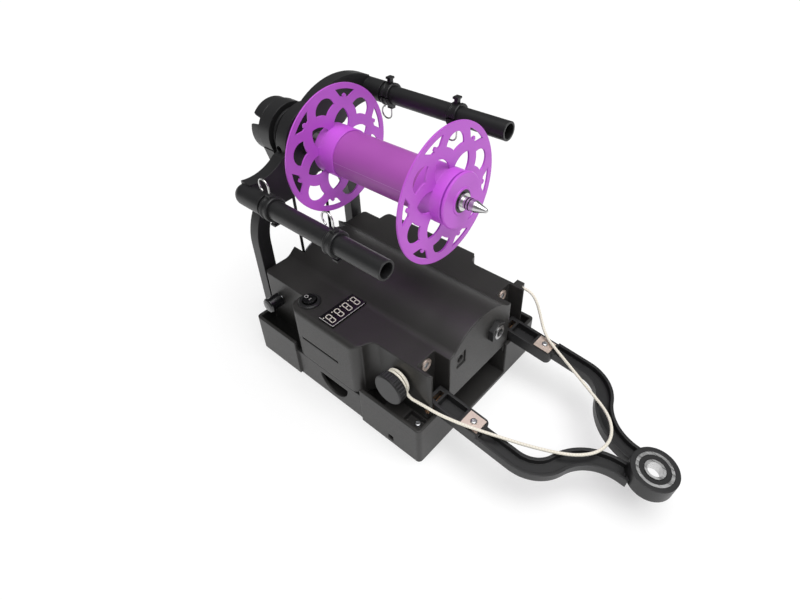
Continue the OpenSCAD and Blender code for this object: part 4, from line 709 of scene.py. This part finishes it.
# Stage: white floor that fills the picture and keeps a light shadow, half lit from below like a light
# table, so that the sides of the object mirror it as they do in the photograph
FLOOR_HALF, FLOOR_GLOW = 3, 0.52
floor_mesh = bpy.data.meshes.new("floor")
floor_mesh.from_pydata([(x, y, 0) for x, y in box(-FLOOR_HALF, -FLOOR_HALF, FLOOR_HALF, FLOOR_HALF)], [],
                       [(0, 1, 2, 3)])
floor = bpy.data.objects.new("floor", floor_mesh)
scene.collection.objects.link(floor)
paper, paper_tree, paper_out = blank("white_paper_sweep")
sheet = add(paper_tree, "ShaderNodeBsdfDiffuse", {"Color": linear("#bcbcbc")})
glow = add(paper_tree, "ShaderNodeEmission", {"Strength": FLOOR_GLOW})
both = add(paper_tree, "ShaderNodeAddShader", {0: sheet.outputs["BSDF"], 1: glow.outputs["Emission"]})
paper_tree.links.new(both.outputs["Shader"], paper_out.inputs["Surface"])
floor_mesh.materials.append(paper)

# Room behind the floor: white to the eye, dim as a light
ROOM_LIGHT = 0.15
world = bpy.data.worlds.new("studio")
scene.world = world
world.use_nodes = True
room_tree = world.node_tree
room_tree.nodes.clear()
seen = add(room_tree, "ShaderNodeLightPath").outputs["Is Camera Ray"]
level = add(room_tree, "ShaderNodeMath", {
    0: seen, 1: 1.0 - ROOM_LIGHT, 2: ROOM_LIGHT}, operation="MULTIPLY_ADD")
room = add(room_tree, "ShaderNodeBackground", {"Color": (1, 1, 1, 1), "Strength": level.outputs["Value"]})
add(room_tree, "ShaderNodeOutputWorld", {"Surface": room.outputs["Background"]})

# One wide even light overhead, leaning a little from the yoke's end
SILK_AIM, SILK_SPREAD, SILK_STRENGTH = (-0.25, 0.08, -1), math.radians(55), 2.85
silk = bpy.data.lights.new("overhead_silk", "SUN")
silk.energy = SILK_STRENGTH
silk.angle = SILK_SPREAD
lamp = bpy.data.objects.new("overhead_silk", silk)
scene.collection.objects.link(lamp)
lamp.rotation_euler = Vector(SILK_AIM).to_track_quat("-Z", "Y").to_euler()

# Camera, solved from the photograph: picture size, focal length and centre in pixels
WIDE, TALL = 800, 600
FOCAL, CENTRE_X, CENTRE_Y = 559.7, 410.69, 260.85
SENSOR, NEAREST = 36, 0.01
AZIMUTH, ELEVATION, ROLL = (math.radians(a) for a in (42.39, 38.08, -1.95))
TARGET, DISTANCE = Vector((19.79, -0.39, 96.36)) * MM, 377.63 * MM
back = Vector((math.sin(AZIMUTH) * math.cos(ELEVATION), -math.cos(AZIMUTH) * math.cos(ELEVATION),
               math.sin(ELEVATION)))
lens = bpy.data.cameras.new("camera")
lens.sensor_width = SENSOR
lens.lens = FOCAL * SENSOR / WIDE
lens.shift_x = (WIDE / 2 - CENTRE_X) / WIDE
lens.shift_y = (CENTRE_Y - TALL / 2) / WIDE
lens.clip_start = NEAREST
camera = bpy.data.objects.new("camera", lens)
scene.collection.objects.link(camera)
camera.location = TARGET + back * DISTANCE
upright = back.to_track_quat("Z", "Y").to_matrix()
right, up = upright.col[0].copy(), upright.col[1].copy()
rolled = Matrix((right * math.cos(ROLL) + up * math.sin(ROLL),
                 up * math.cos(ROLL) - right * math.sin(ROLL), back))
camera.rotation_euler = rolled.transposed().to_euler()
scene.camera = camera
scene.view_settings.view_transform = "Standard"
